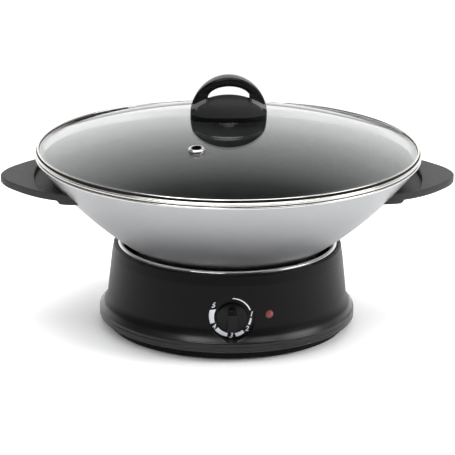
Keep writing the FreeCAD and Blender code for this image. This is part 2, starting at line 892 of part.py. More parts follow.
def pilot_lens():
    high = lens_flange_h - lens_seat
    flange = spun((0, -1.0), [
        ((lens_r, -1.0),),
        ((lens_r, -lens_seat),),
        ((lens_flange_r, -lens_seat),),
        ((lens_flange_r, high - 0.3),),
        ((lens_flange_r - 0.1, high - 0.1), (lens_flange_r - 0.3, high)),
        dome_step(lens_flange_r - 0.3, high, lens_dome),
    ])
    stem = tube(lens_r, neon_r + snug, -lens_l, -1.0)
    return at_lamp(flange.fuse(stem).removeSplitter())


def lens_ring():
    return at_lamp(tube(lens_r + 2.2, lens_r + running, -shell_wall - 2.4, -shell_wall - 0.6))


def neon_lamp():
    glass = rod(neon_r, -1.2 - neon_l, -1.2)
    return at_lamp(glass)


# --- supply side ---

def cord_gland():
    neck = rod(gland_neck_r, -pocket_wall, 0)
    flange = spun((0, 0), [
        ((gland_flange_r, 0),),
        ((gland_flange_r, gland_flange_h - 0.8),),
        ((gland_flange_r - 0.8, gland_flange_h),),
        ((0, gland_flange_h),),
    ])
    nut = rod(gland_flange_r, -pocket_wall - gland_nut_h, -pocket_wall)
    gland = neck.fuse(flange).fuse(nut)
    return at_gland(gland.cut(rod(gland_bore_r, -30, 30)).removeSplitter())


def block_z():
    return plate_top_z


def way_z():
    return block_z() + block_h * way_middle


def way_places():
    return [block_x + (i - (way_count - 1) / 2) * way_step for i in range(way_count)]


def ear_places():
    reach = block_w / 2 + ear_r
    return [block_x - reach, block_x + reach]


def terminal_block():
    z0 = block_z()
    high = z0 + block_h
    ear_z = z0 + ear_up
    ear_w = ear_r * 0.8
    half_w = block_w / 2
    half_d = block_d / 2
    seat = z0 + block_h * way_floor
    solids = [
        block(block_x - half_w, block_x + half_w, block_y - half_d, block_y + half_d, z0, seat),
        block(ear_places()[0], ear_places()[1], block_y - ear_w, block_y + ear_w, ear_z, ear_z + ear_t),
    ]
    holes = []
    for x in ear_places():
        solids.append(rod(ear_r, ear_z, ear_z + ear_t, x, block_y))
        holes.append(rod(small_screw_r + snug, z0, high, x, block_y))
    for x in way_places():
        solids.append(rod(way_r + 1.4, z0 + 1, high, x, block_y))
        holes.append(rod(way_r, seat, high + 1, x, block_y))
        holes.append(rod(way_r - 0.6 + running, way_z(), high, x, block_y))
        along = V(x, block_y - half_d - 1, way_z())
        holes.append(Part.makeCylinder(lead_r + snug, block_d + 2, along, V(0, 1, 0)))
    return fused(solids).cut(holes).removeSplitter()


def terminal_screws():
    seat = block_z() + block_h * way_floor
    one = screw(way_r - 0.6, seat - way_z() - lead_r - running, way_r - snug, head_h)
    one = moved(one, 0, block_y, seat)
    return group([moved(one, x) for x in way_places()])


def block_screws():
    one = screw(small_screw_r, ear_t + ear_up - 1.0, small_head_r, small_head_h)
    return group([moved(one, x, block_y, block_z() + ear_up + ear_t) for x in ear_places()])


def earth_tab():
    high = dish_z - dish_sheet
    foot = block(earth_x - 5, earth_x + 5, earth_y - blade_w / 2, earth_y + blade_w / 2, high - blade_t, high)
    foot = foot.cut(rod(rivet_r + running, high - 5, high + 5, earth_x, earth_y))
    blade = block(earth_x - 5, earth_x - 5 + blade_t, earth_y - blade_w / 2, earth_y + blade_w / 2,
                  high - blade_l, high)
    return foot.fuse(blade).removeSplitter()


def earth_rivet():
    low = dish_z - dish_sheet - blade_t
    rivet = rod(rivet_r, low, dish_z).fuse(rod(rivet_head_r, dish_z, dish_z + rivet_head_h))
    return moved(rivet.fuse(rod(rivet_head_r, low - rivet_head_h, low)).removeSplitter(), earth_x, earth_y)


def stat_blade_end():
    # How far forward the tips of the thermostat's blades are, as a distance behind the pocket's face.
    return pocket_face_y - pocket_wall - stat_gap - sheet - stat_d - blade_l


def live_lead():
    # Terminal block to the thermostat.
    x = way_places()[0]
    tip = -stat_blade_end()
    z = dial_z - stat_blade_drop
    return routed_tube([
        (x, block_y + lead_grip, way_z()),
        (x, 10, way_z()),
        (22, -30, (way_z() + z) / 2),
        (stat_blade_x, tip + 19, z),
        (stat_blade_x, tip, z),
    ], lead_r, lead_bend)


def load_lead():
    # Thermostat to the thermal fuse.
    tip = -stat_blade_end()
    z = dial_z - stat_blade_drop
    return routed_tube([
        (-stat_blade_x, tip, z),
        (-stat_blade_x, tip + 29, z),
        (fuse_x - 22, fuse_y - 22, fuse_z() - 5),
        (fuse_x - 22, fuse_y, fuse_z()),
        (fuse_x, fuse_y, fuse_z()),
    ], lead_r, lead_bend)


def fuse_lead():
    # Thermal fuse to the outer leg of the element.
    x, y = leg_places()[0]
    foot = tube_z - leg_bend_r - leg_length - blade_l
    end = fuse_x + fuse_l
    return routed_tube([
        (end, fuse_y, fuse_z()),
        (end + 16, fuse_y, fuse_z()),
        (end + 16, fuse_y + 14, fuse_z() - 16),
        (24, 44, 19),
        (x, y, foot - 15),
        (x, y, foot),
    ], lead_r, lead_bend)


def neutral_lead():
    # Terminal block to the inner leg of the element.
    x, y = leg_places()[1]
    foot = tube_z - leg_bend_r - leg_length - blade_l
    way = way_places()[1]
    return routed_tube([
        (way, block_y + lead_grip, way_z()),
        (way, block_y - 16, way_z()),
        (way - 5, block_y - 30, way_z() + 8),
        (12, 28, way_z() + 8),
        (x, y, foot - 15),
        (x, y, foot),
    ], lead_r, lead_bend * 0.8)


def earth_lead():
    # Terminal block to the dish.
    way = way_places()[2]
    x = earth_x - 5 + blade_t / 2
    foot = dish_z - dish_sheet - blade_l
    return routed_tube([
        (way, block_y + lead_grip, way_z()),
        (way, block_y - 22, way_z()),
        (44, 20, way_z() + 6),
        (-10, 14, way_z() + 6),
        (x, earth_y - 12, foot - 22),
        (x, earth_y, foot - 12),
        (x, earth_y, foot),
    ], lead_r, lead_bend * 0.8)


def lamp_leads():
    # Two thin leads from the neon lamp to the thermostat's blades.
    z = dial_z - stat_blade_drop
    y = -stat_blade_end() - blade_l / 2
    back_r = wall_r(lip_z + lamp_up) - 1.2 - neon_l
    aim = math.radians(lamp_turn)
    leads = []
    for rise in (1.2, -1.2):
        lamp_z = lip_z + lamp_up + rise
        start = (back_r * math.sin(aim), -back_r * math.cos(aim), lamp_z)
        inward = ((back_r - 12.5) * math.sin(aim), -(back_r - 12.5) * math.cos(aim), lamp_z)
        if rise > 0:
            rest = [(22, y, z), (stat_blade_x + blade_w / 2, y, z)]
        else:
            rest = [(24, y, z - 12), (-stat_blade_x, y, z - 12), (-stat_blade_x, y, z - blade_t / 2)]
        leads.append(routed_tube([start, inward] + rest, lamp_lead_r, lamp_lead_bend))
    return group(leads)


# --- wok pan and handles ---

def pan_centre():
    # Centre of the wall's arc in the plane of radius and height.
    low = V(pan_flat_r, 0, pan_z)
    high = V(pan_wall_top_r, 0, rim_z - pan_wall_top_drop)
    chord = high - low
    half = chord.Length / 2
    up = V(-chord.z, 0, chord.x).normalize()
    return (low + high) * 0.5 + up * math.sqrt(pan_arc_r ** 2 - half ** 2)


def pan_r(z, inset=0.0):
    # Radius of the pan's wall at a height, from its outside face inwards by inset.
    centre = pan_centre()
    return centre.x + math.sqrt((pan_arc_r - inset) ** 2 - (centre.z - z) ** 2)


def wall_arc(z0, z1, inset=0.0):
    # An outline step along the pan's wall.
    middle = (z0 + z1) / 2
    return ((pan_r(middle, inset), middle), (pan_r(z1, inset), z1))


def wok_pan():
    floor_z = pan_z + pan_floor
    bead_z = rim_z - rim_bead
    return spun((0, pan_z), [
        ((pan_flat_r, pan_z),),
        wall_arc(pan_z, bead_z),
        ((pan_rim_r, rim_z - rim_bead * 0.4), (rim_land_r, rim_z)),
        ((pan_r(rim_z, pan_wall), rim_z),),
        wall_arc(rim_z, floor_z, pan_wall),
        ((0, floor_z),),
    ])


def pan_envelope(gap):
    # Everything inside the pan's outside face, grown by a gap.
    low = pan_z + 10
    high = rim_z - rim_bead
    return spun((0, low), [
        ((pan_r(low, -gap), low),),
        wall_arc(low, high, -gap),
        ((0, high),),
    ])


def wing(inset, z0, z1):
    # The right handle's outline seen from above, moved inwards by inset, as an upright block.
    plan = wing_side + [(wing_out, 0.0)] + [(x, -y) for x, y in reversed(wing_side)]
    points = [V(pan_rim_r + x, y, z0) for x, y in plan]
    curve = Part.BSplineCurve()
    curve.interpolate(points)
    inwards = [curve.tangent(curve.parameter(point))[0].cross(UP) for point in points]
    points = [point + side * inset for point, side in zip(points, inwards)]
    curve.interpolate(points)
    inner = V(handle_core_x, 0, z0)
    back = Part.LineSegment(points[-1], inner).toShape()
    forward = Part.LineSegment(inner, points[0]).toShape()
    face = Part.Face(Part.Wire([curve.toShape(), back, forward]))
    return face.extrude(V(0, 0, z1 - z0))


def handle_screw_top():
    return rim_z - tongue_drop + tongue_t


def handle_bracket(gap):
    # A plate welded to the pan's wall and a tongue that reaches into the handle.
    z = rim_z - tongue_drop
    plate = pan_envelope(sheet + gap).cut(pan_envelope(-gap))
    plate = plate.common(block(handle_core_x, pan_rim_r, -foot_plate_w / 2 - gap, foot_plate_w / 2 + gap,
                               rim_z - foot_plate_low - gap, rim_z - foot_plate_high + gap))
    tongue = block(pan_r(z) - 5, tongue_end + gap, -tongue_w / 2 - gap, tongue_w / 2 + gap,
                   z - gap, z + tongue_t + gap)
    return plate.fuse(tongue.cut(pan_envelope(-gap))).removeSplitter()


def handle_toes():
    # The thicker ends of the side rails, beside the pan's wall.
    high = rim_z - handle_top_drop - handle_thick
    low = rim_z - toe_drop
    side_view = outline(in_xz, (handle_core_x, high + 1), [
        ((toe_x + toe_chamfer, high + 1),),
        ((toe_x + toe_chamfer, high),),
        ((toe_x, low),),
        ((handle_core_x, low),),
    ])
    slab = moved(Part.Face(side_view).extrude(V(0, pan_rim_r, 0)), 0, -pan_rim_r / 2)
    between = block(handle_core_x, wing_tip, -toe_half_y, toe_half_y, low - 1, high + 2)
    return slab.common(wing(0, low, high + 1)).cut(between)


def handle_cove():
    # What is hollowed out between the wing and the pan, down to a sloping web.
    top = rim_z - handle_top_drop
    lip = cove_lip * 0.3
    hollow = spun((handle_core_x, rim_z - cove_inner_drop), [
        ((cove_inner_r, rim_z - cove_inner_drop),),
        ((pan_rim_r, rim_z - cove_outer_drop),),
        ((pan_rim_r, top - cove_lip),),
        ((pan_rim_r + lip, top - lip), (pan_rim_r + cove_lip, top)),
        ((pan_rim_r + cove_lip, top + 5),),
        ((handle_core_x, top + 5),),
    ])
    return hollow.common(wing(rail_w, rim_z - cove_inner_drop - 1, top + 10))


def right_handle():
    top = rim_z - handle_top_drop
    low = top - handle_thick
    blade = wing(0, low, top)
    blade = blade.makeFillet(handle_edge, [e for e in blade.Edges if e.BoundBox.XLength > 50])
    boss_z = rim_z - handle_boss_drop
    boss = block(handle_boss_in, handle_boss_out, -boss_half_w, boss_half_w, boss_z, low + 1)
    body = blade.fuse(boss).fuse(handle_toes()).cut(handle_cove()).cut(pan_envelope(slip / 2))
    body = body.cut(handle_bracket(snug))
    head_z = boss_z + snug
    body = body.cut(rod(handle_head_r + snug, head_z - 5, head_z + handle_head_h, handle_screw_x))
    body = body.cut(rod(handle_screw_r + snug, head_z, handle_screw_top() + 0.6, handle_screw_x))
    return body.removeSplitter()


def right_bracket():
    z = rim_z - tongue_drop
    return handle_bracket(0).cut(rod(handle_screw_r + running, z - 5, z + 5, handle_screw_x)).removeSplitter()


def right_handle_screw():
    head_z = rim_z - handle_boss_drop + snug + handle_head_h
    length = handle_screw_top() + 0.4 - head_z
    one = upside_down(screw(handle_screw_r, length, handle_head_r, handle_head_h))
    return moved(one, handle_screw_x, 0, head_z)


# --- lid ---

def lid_glass():
    inner_r = math.sqrt((dome_radius - glass_t) ** 2 - (glass_z - dome_z) ** 2)
    def on_dome(radius, r):
        return (r, dome_z + math.sqrt(radius ** 2 - r ** 2))
    dome = spun((0, apex_z), [
        (on_dome(dome_radius, dome_r / 2), (dome_r, flange_z)),
        ((glass_r, flange_z),),
        ((glass_r, glass_z),),
        ((inner_r, glass_z),),
        (on_dome(dome_radius - glass_t, inner_r / 2), (0, apex_z - glass_t)),
    ])
    dome = dome.cut(rod(glass_hole_r, apex_z - 20, apex_z + 5))
    return dome.cut(on_glass(rod(eyelet_neck_r + snug, -20, 10)))


def on_glass(shape):
    # Takes a piece made upright on the origin to the steam vent's place, square to the dome.
    reach = math.hypot(vent_x, vent_y)
    tilt = math.degrees(math.asin(reach / dome_radius))
    hinge = V(-vent_y, vent_x, 0)
    centre = V(0, 0, dome_z)
    return turned(moved(shape, 0, 0, apex_z), tilt, centre, hinge)


def steam_vent():
    return on_glass(spun((eyelet_bore_r, -glass_t - snug - eyelet_tuck_h), [
        ((eyelet_tuck_r, -glass_t - snug - eyelet_tuck_h),),
        ((eyelet_tuck_r, -glass_t - snug),),
        ((eyelet_neck_r, -glass_t - snug),),
        ((eyelet_neck_r, 0),),
        ((eyelet_r, 0),),
        ((eyelet_r, eyelet_h * 0.4),),
        ((eyelet_r - 0.5, eyelet_h * 0.85), (eyelet_r - 1.8, eyelet_h)),
        ((eyelet_bore_r + 0.7, eyelet_h),),
        ((eyelet_bore_r + 0.1, eyelet_h * 0.8), (eyelet_bore_r, eyelet_h * 0.4)),
    ]))


def lid_rim():
    # Steel band folded round the glass edge, with two soft ribs outside and a hook inside the pan.
    top = rim_z + band_h
    waist = rim_z + band_waist
    inside = glass_r + slip
    return spun((band_hook_r, rim_z - band_hook_h), [
        ((band_hook_r + band_sheet, rim_z - band_hook_h),),
        ((band_hook_r + band_sheet, rim_z),),
        ((rim_land_r, rim_z),),
        ((band_r, (rim_z + waist) / 2 - 0.2), (band_r - band_waist_depth, waist)),
        ((band_r - 0.3, (waist + top) / 2 + 0.1), (band_r - 1.7, top - 0.2)),
        ((band_inner_r + 1.5, top),),
        ((band_inner_r, top - band_lip + 0.3),),
        ((band_inner_r, flange_z),),
        ((inside, flange_z),),
        ((inside, glass_z),),
        ((band_hook_r, glass_z),),
    ])


def oval(half_l, half_w, z0, z1):
    curve = Part.Ellipse(V(0, 0, z0), half_l, half_w).toShape()
    return Part.Face(Part.Wire(curve)).extrude(V(0, 0, z1 - z0))


def lid_knob_base():
    skirt = oval(grip_half_l, grip_half_w, apex_z - 3, knob_z)
    rim_edges = [e for e in skirt.Edges if e.BoundBox.ZMin > knob_z - 0.01]
    skirt = skirt.makeChamfer(0.4, rim_edges)
    skirt = skirt.cut(Part.makeSphere(dome_radius + snug, V(0, 0, dome_z)))
    return skirt.cut(rod(lid_screw_r + snug, apex_z - 5, knob_z + 1))


def upright_oval(half_x, half_z, centre_z, half_depth):
    # The upper half of an oval block that faces front and back.
    centre = V(0, -half_depth, centre_z)
    ends = [centre + V(0, 0, half_z), centre + V(half_x, 0, 0)]
    if half_x > half_z:
        ends.reverse()
    face = Part.Face(Part.Wire(Part.Ellipse(ends[0], ends[1], centre).toShape()))
    whole = face.extrude(V(0, 2 * half_depth, 0))
    return whole.common(block(-half_x, half_x, -half_depth, half_depth, centre_z, centre_z + half_z))


def pebble():
    # The bulging lower body, the upper half of a stretched ball.
    ball = Part.makeSphere(grip_half_l)
    stretch = FreeCAD.Matrix()
    stretch.scale(V(1, grip_half_w / grip_half_l, pebble_h / grip_half_l))
    half = moved(ball.transformGeometry(stretch), 0, 0, knob_z)
    return half.common(block(-50, 50, -50, 50, knob_z, knob_z + 50))


def ledges():
    # Sloping shoulders between the arch's feet and the bulging body.
    sections = []
    for y, fall in ((arch_half_d - 1, 0.0), (arch_half_d, 0.0), (ledge_half_d, ledge_fall)):
        corners = [(window_half_w - 1, 0.0), (window_half_w - 1, ledge_top - fall),
                   (ledge_end_x, ledge_end_top - fall), (grip_half_l, 0.0)]
        sections.append(Part.makePolygon([V(x, y, knob_z + z) for x, z in corners + corners[:1]]))
    ledge = Part.makeLoft(sections, True, True).common(oval(grip_half_l, grip_half_w, knob_z, knob_z + 30))
    right = [ledge, ledge.mirror(MIDDLE, V(0, 1, 0))]
    return right + [piece.mirror(MIDDLE, V(1, 0, 0)) for piece in right]


def lid_knob():
    arch = upright_oval(grip_half_l, arch_rise, knob_z, arch_half_d)
    face_edges = [e for e in arch.Edges if e.BoundBox.ZMax > knob_z + 1 and e.BoundBox.YLength < 0.01]
    arch = arch.makeFillet(arch_round, face_edges)
    arch = arch.cut(upright_oval(window_half_w, window_rise, knob_z + window_sill, 40))
    arch = arch.cut(block(-window_half_w, window_half_w, -40, 40, knob_z, knob_z + window_sill))
    knob = fused([arch, pebble()] + ledges())
    depth = lid_screw_l - (knob_z - lid_screw_seat()) + 1.0
    return knob.cut(rod(lid_screw_r + running, knob_z - 1, knob_z + depth))


def lid_screw_seat():
    return apex_z - glass_t - snug - seal_t - washer_t


def lid_screw():
    one = upside_down(screw(lid_screw_r, lid_screw_l, lid_head_r, lid_head_h))
    return moved(one, 0, 0, lid_screw_seat())


def lid_washer():
    high = lid_screw_seat() + washer_t
    return tube(washer_r, lid_screw_r + snug, lid_screw_seat(), high)


def lid_seal():
    low = lid_screw_seat() + washer_t
    return tube(seal_r, lid_screw_r + snug, low, low + seal_t)


# --- the whole wok ---

base_parts = {
    "base_housing": base_housing,
    "base_plate": base_plate,
    "rubber_feet": rubber_feet,
    "base_plate_screws": base_plate_screws,
    "spacer_posts": spacer_posts,
    "reflector_dish": reflector_dish,
    "dish_screws": dish_screws,
    "heating_element": heating_element,
    "ceramic_bushes": ceramic_bushes,
    "element_blades": element_blades,
    "element_supports": element_supports,
    "support_rivets": support_rivets,
    "thermostat_body": thermostat_body,
    "thermostat_bracket": thermostat_bracket,
    "thermostat_screws": thermostat_screws,
    "heat_sensor": heat_sensor,
    "sensor_clip": sensor_clip,
    "thermal_fuse": thermal_fuse,
    "fuse_strap": fuse_strap,
    "pilot_lens": pilot_lens,
    "lens_ring": lens_ring,
    "neon_lamp": neon_lamp,
    "cord_gland": cord_gland,
    "terminal_block": terminal_block,
    "terminal_screws": terminal_screws,
    "block_screws": block_screws,
    "earth_tab": earth_tab,
    "earth_rivet": earth_rivet,
    "live_lead": live_lead,
    "load_lead": load_lead,
    "fuse_lead": fuse_lead,
    "neutral_lead": neutral_lead,
    "earth_lead": earth_lead,
    "lamp_leads": lamp_leads,
}
dial_parts = {
    "control_knob": control_knob,
    "knob_spring_clip": knob_spring_clip,
    "thermostat_spindle": thermostat_spindle,
}
pan_parts = {
    "wok_pan": wok_pan,
    "right_handle": right_handle,
    "right_handle_bracket": right_bracket,
    "right_handle_screw": right_handle_screw,
}
lid_parts = {
    "lid_glass": lid_glass,
    "lid_rim": lid_rim,
    "steam_vent": steam_vent,
    "lid_knob": lid_knob,
    "lid_knob_base": lid_knob_base,
    "lid_screw": lid_screw,
    "lid_washer": lid_washer,
    "lid_seal": lid_seal,
}


def save(name, shape):
    solids = shape.Solids
    sound = shape.isValid() and bool(solids) and all(solid.Volume > 0 for solid in solids)
    volume = round(sum(solid.Volume for solid in solids))
    print(name, len(solids), "solids", volume, "mm3", "" if sound else "BAD")
    shape.exportStep("parts/" + name + ".step")


os.makedirs("parts", exist_ok=True)
for name, make in {**base_parts, **dial_parts, **pan_parts, **lid_parts}.items():
    save(name, make())
for name in ("handle", "handle_bracket", "handle_screw"):
    save("left_" + name, turned(pan_parts["right_" + name](), 180))
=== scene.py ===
import json
from math import atan2, copysign, cos, pi, radians, sin, sqrt

import bmesh
import bpy
from mathutils import Matrix, Quaternion, Vector

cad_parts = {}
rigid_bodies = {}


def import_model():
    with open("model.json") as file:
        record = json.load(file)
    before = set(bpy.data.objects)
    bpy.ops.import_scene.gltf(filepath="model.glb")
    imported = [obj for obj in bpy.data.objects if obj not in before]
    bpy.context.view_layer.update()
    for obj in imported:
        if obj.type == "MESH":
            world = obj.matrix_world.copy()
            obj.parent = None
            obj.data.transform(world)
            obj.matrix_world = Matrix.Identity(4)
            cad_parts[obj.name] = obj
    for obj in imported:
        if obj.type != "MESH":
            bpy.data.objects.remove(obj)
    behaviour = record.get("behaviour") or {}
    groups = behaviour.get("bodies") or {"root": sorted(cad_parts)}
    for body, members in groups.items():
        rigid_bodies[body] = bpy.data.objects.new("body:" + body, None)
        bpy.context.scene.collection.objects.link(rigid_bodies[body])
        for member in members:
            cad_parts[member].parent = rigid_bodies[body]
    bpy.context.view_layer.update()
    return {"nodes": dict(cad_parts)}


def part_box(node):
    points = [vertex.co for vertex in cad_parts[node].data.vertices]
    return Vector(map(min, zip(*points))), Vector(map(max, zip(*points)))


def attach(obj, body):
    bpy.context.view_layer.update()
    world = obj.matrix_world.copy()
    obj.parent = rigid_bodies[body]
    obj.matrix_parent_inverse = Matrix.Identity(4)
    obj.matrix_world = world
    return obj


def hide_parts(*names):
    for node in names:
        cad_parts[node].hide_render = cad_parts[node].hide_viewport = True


mm = 0.001
micron = 1e-6

for leftover in list(bpy.data.objects):
    bpy.data.objects.remove(leftover)

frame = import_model()
print("frame loaded:", len(frame["nodes"]), "nodes")


def arcStep(start, middle, end, count):
    # points on the circle through three points, after the first one
    (ax, ay), (bx, by), (cx, cy) = start, middle, end
    d = 2 * (ax * (by - cy) + bx * (cy - ay) + cx * (ay - by))
    a2, b2, c2 = ax * ax + ay * ay, bx * bx + by * by, cx * cx + cy * cy
    ux = (a2 * (by - cy) + b2 * (cy - ay) + c2 * (ay - by)) / d
    uy = (a2 * (cx - bx) + b2 * (ax - cx) + c2 * (bx - ax)) / d
    first = atan2(ay - uy, ax - ux)
    turn = atan2(cy - uy, cx - ux) - first
    bend = atan2(by - uy, bx - ux) - first
    if bend % (2 * pi) < turn % (2 * pi):
        turn %= 2 * pi
    else:
        turn = turn % (2 * pi) - 2 * pi
    radius = sqrt((ax - ux) ** 2 + (ay - uy) ** 2)
    return [(ux + radius * cos(first + turn * i / count), uy + radius * sin(first + turn * i / count))
            for i in range(1, count + 1)]


def profile(start, steps, count):
    # a step is an end point, or a point on an arc and then its end point, as two or four numbers
    points = [start]
    for step in steps:
        if len(step) == 2:
            points.append(step)
        else:
            points += arcStep(points[-1], step[:2], step[2:], count)
    return points


def between(first, last, share):
    return first + (last - first) * share


def evenly(first, last, count):
    # values in equal steps, after the first one
    return [first + (last - first) * i / count for i in range(1, count + 1)]


def onlyKind(items, kind):
    return [item for item in items if isinstance(item, kind)]


def lathe(points, segments, turn=2 * pi):
    # spins an outline of radii and heights in millimetres round the Z axis, and caps what is less than a turn
    bm = bmesh.new()
    verts = [bm.verts.new((0, -r * mm, z * mm)) for r, z in points]
    edges = [bm.edges.new((a, b)) for a, b in zip(verts, verts[1:])]
    if points[0][0] > 0 and points[-1][0] > 0:
        edges.append(bm.edges.new((verts[-1], verts[0])))
    full = turn >= 2 * pi
    last = bmesh.ops.spin(bm, geom=verts + edges, cent=(0, 0, 0), axis=(0, 0, 1), angle=turn, steps=segments,
                          use_merge=full)["geom_last"]
    if not full:
        for end in (edges, onlyKind(last, bmesh.types.BMEdge)):
            bmesh.ops.contextual_create(bm, geom=end)
    bmesh.ops.remove_doubles(bm, verts=bm.verts, dist=micron)
    bmesh.ops.recalc_face_normals(bm, faces=bm.faces)
    return bm


def extrudeFaces(bm, faces, move=(0, 0, 0)):
    moved = bmesh.ops.extrude_face_region(bm, geom=faces)["geom"]
    verts = onlyKind(moved, bmesh.types.BMVert)
    bmesh.ops.translate(bm, verts=verts, vec=move)
    return verts


def bevelEdges(bm, edges, width, segments):
    bmesh.ops.bevel(bm, geom=edges, offset=width * mm, segments=segments, affect="EDGES", profile=0.5,
                    material=-1)


def finishPiece(bm, name, body, materials, replaces=None, sharpAngle=35):
    # makes a piece of a bmesh, on the body that it moves with
    mesh = bpy.data.meshes.new(name)
    bm.to_mesh(mesh)
    bm.free()
    for material in materials:
        mesh.materials.append(material)
    mesh.shade_smooth()
    mesh.set_sharp_from_angle(angle=radians(sharpAngle))
    piece = bpy.data.objects.new(name, mesh)
    bpy.context.scene.collection.objects.link(piece)
    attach(piece, body)
    if replaces:
        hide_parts(replaces)


def addNode(tree, kind, **settings):
    node = tree.nodes.new(kind)
    for key, value in settings.items():
        setattr(node, key, value)
    return node


def feed(tree, socket, value):
    # a value is another node's socket, or a number or colour set on this one
    if isinstance(value, bpy.types.NodeSocket):
        tree.links.new(value, socket)
    else:
        socket.default_value = value


def calc(tree, operation, first, second=0.0, clamp=False):
    node = addNode(tree, "ShaderNodeMath", operation=operation, use_clamp=clamp)
    for socket, value in zip(node.inputs, (first, second)):
        feed(tree, socket, value)
    return node.outputs[0]


def noise(tree, vector, scale, detail, roughness=0.55):
    node = addNode(tree, "ShaderNodeTexNoise")
    feed(tree, node.inputs["Vector"], vector)
    feed(tree, node.inputs["Scale"], scale)
    feed(tree, node.inputs["Detail"], detail)
    feed(tree, node.inputs["Roughness"], roughness)
    return node.outputs["Fac"]


def swing(tree, pattern, spread, middle):
    # a pattern from 0 to 1 becomes a value that swings about a middle one
    offset = calc(tree, "MULTIPLY", calc(tree, "SUBTRACT", pattern, 0.5), spread)
    return calc(tree, "ADD", offset, middle)


def remap(tree, value, low, high, newLow, newHigh):
    node = addNode(tree, "ShaderNodeMapRange")
    for label, amount in (("Value", value), ("From Min", low), ("From Max", high),
                          ("To Min", newLow), ("To Max", newHigh)):
        feed(tree, node.inputs[label], amount)
    return node.outputs["Result"]


def blendColor(tree, factor, first, second):
    node = addNode(tree, "ShaderNodeMix", data_type="RGBA")
    feed(tree, node.inputs["Factor"], factor)
    feed(tree, node.inputs["A"], first)
    feed(tree, node.inputs["B"], second)
    return node.outputs["Result"]


def brighten(tree, tint, factor):
    # scales a colour's brightness by a factor that changes over the surface
    node = addNode(tree, "ShaderNodeHueSaturation")
    feed(tree, node.inputs["Value"], factor)
    feed(tree, node.inputs["Color"], tint)
    return node.outputs["Color"]


def objectPlace(tree):
    return addNode(tree, "ShaderNodeTexCoord").outputs["Object"]


def splitAxes(tree, vector):
    node = addNode(tree, "ShaderNodeSeparateXYZ")
    feed(tree, node.inputs[0], vector)
    return node.outputs


def axisDistance(tree, x, y):
    return calc(tree, "SQRT", calc(tree, "ADD", calc(tree, "MULTIPLY", x, x), calc(tree, "MULTIPLY", y, y)))


def newGroup(name, inputs, outputs):
    # gives the group, the sockets that bring its inputs and the sockets of its results
    group = bpy.data.node_groups.new(name, "ShaderNodeTree")
    for label, kind, value in inputs:
        group.interface.new_socket(label, in_out="INPUT", socket_type=kind).default_value = value
    for label, kind in outputs:
        group.interface.new_socket(label, in_out="OUTPUT", socket_type=kind)
    return group, addNode(group, "NodeGroupInput").outputs, addNode(group, "NodeGroupOutput").inputs


number = "NodeSocketFloat"
color = "NodeSocketColor"
finishOutputs = [("Color", color), ("Roughness", number), ("Height", number)]

# noise scales, for an object measured in metres
patternScale = {
    "mouldTone": 38.0, "mouldGloss": 160.0, "ringBreaks": 14.0, "ringClouds": 24.0, "coatGloss": 60.0,
    "coatSkin": 700.0,
}
ringLean = 0.7   # how closely the rings lie on an upright wall, against those on a flat face
ringShare = 0.6  # share of the rings in the pattern of spun metal, the clouds having the rest
fleckEdge = (0.1, 0.28)  # where a fleck starts to fade and where it ends, across its cell


def makeMouldedGroup():
    # moulded plastic: fine spark texture, with slow changes of tone and gloss
    group, given, result = newGroup("mouldedPlastic", [
        ("Color", color, (0.02, 0.02, 0.02, 1)), ("Tone Spread", number, 0.15), ("Roughness", number, 0.4),
        ("Roughness Spread", number, 0.06), ("Grain Scale", number, 2500.0)], finishOutputs)
    place = objectPlace(group)
    clouds = noise(group, place, patternScale["mouldTone"], 4.0)
    smears = noise(group, place, patternScale["mouldGloss"], 5.0, 0.65)
    tone = swing(group, clouds, calc(group, "MULTIPLY", given["Tone Spread"], 0.5), 1.0)
    feed(group, result["Color"], brighten(group, given["Color"], tone))
    spread = calc(group, "MULTIPLY", given["Roughness Spread"], 2.0)
    feed(group, result["Roughness"], swing(group, smears, spread, given["Roughness"]))
    feed(group, result["Height"], noise(group, place, given["Grain Scale"], 2.0))
    return group


def makeSpunGroup():
    # metal finished on a lathe: fine rings round the Z axis, broken up along their length
    group, given, result = newGroup("spunMetal", [
        ("Color", color, (0.6, 0.6, 0.6, 1)), ("Tone Spread", number, 0.08), ("Roughness", number, 0.3),
        ("Roughness Spread", number, 0.08), ("Line Density", number, 900.0)], finishOutputs)
    place = objectPlace(group)
    x, y, z = splitAxes(group, place)
    along = calc(group, "ADD", axisDistance(group, x, y), calc(group, "MULTIPLY", z, ringLean))
    lineSpace = addNode(group, "ShaderNodeCombineXYZ")
    feed(group, lineSpace.inputs["X"], calc(group, "MULTIPLY", along, given["Line Density"]))
    feed(group, lineSpace.inputs["Y"], calc(group, "MULTIPLY", x, patternScale["ringBreaks"]))
    feed(group, lineSpace.inputs["Z"], calc(group, "MULTIPLY", y, patternScale["ringBreaks"]))
    rings = noise(group, lineSpace.outputs[0], 1.0, 4.0, 0.7)
    clouds = noise(group, place, patternScale["ringClouds"], 4.0)
    both = calc(group, "ADD", calc(group, "MULTIPLY", rings, ringShare),
                calc(group, "MULTIPLY", clouds, 1 - ringShare))
    tone = swing(group, both, given["Tone Spread"], 1.0)
    feed(group, result["Color"], brighten(group, given["Color"], tone))
    feed(group, result["Roughness"], swing(group, both, given["Roughness Spread"], given["Roughness"]))
    feed(group, result["Height"], rings)
    return group


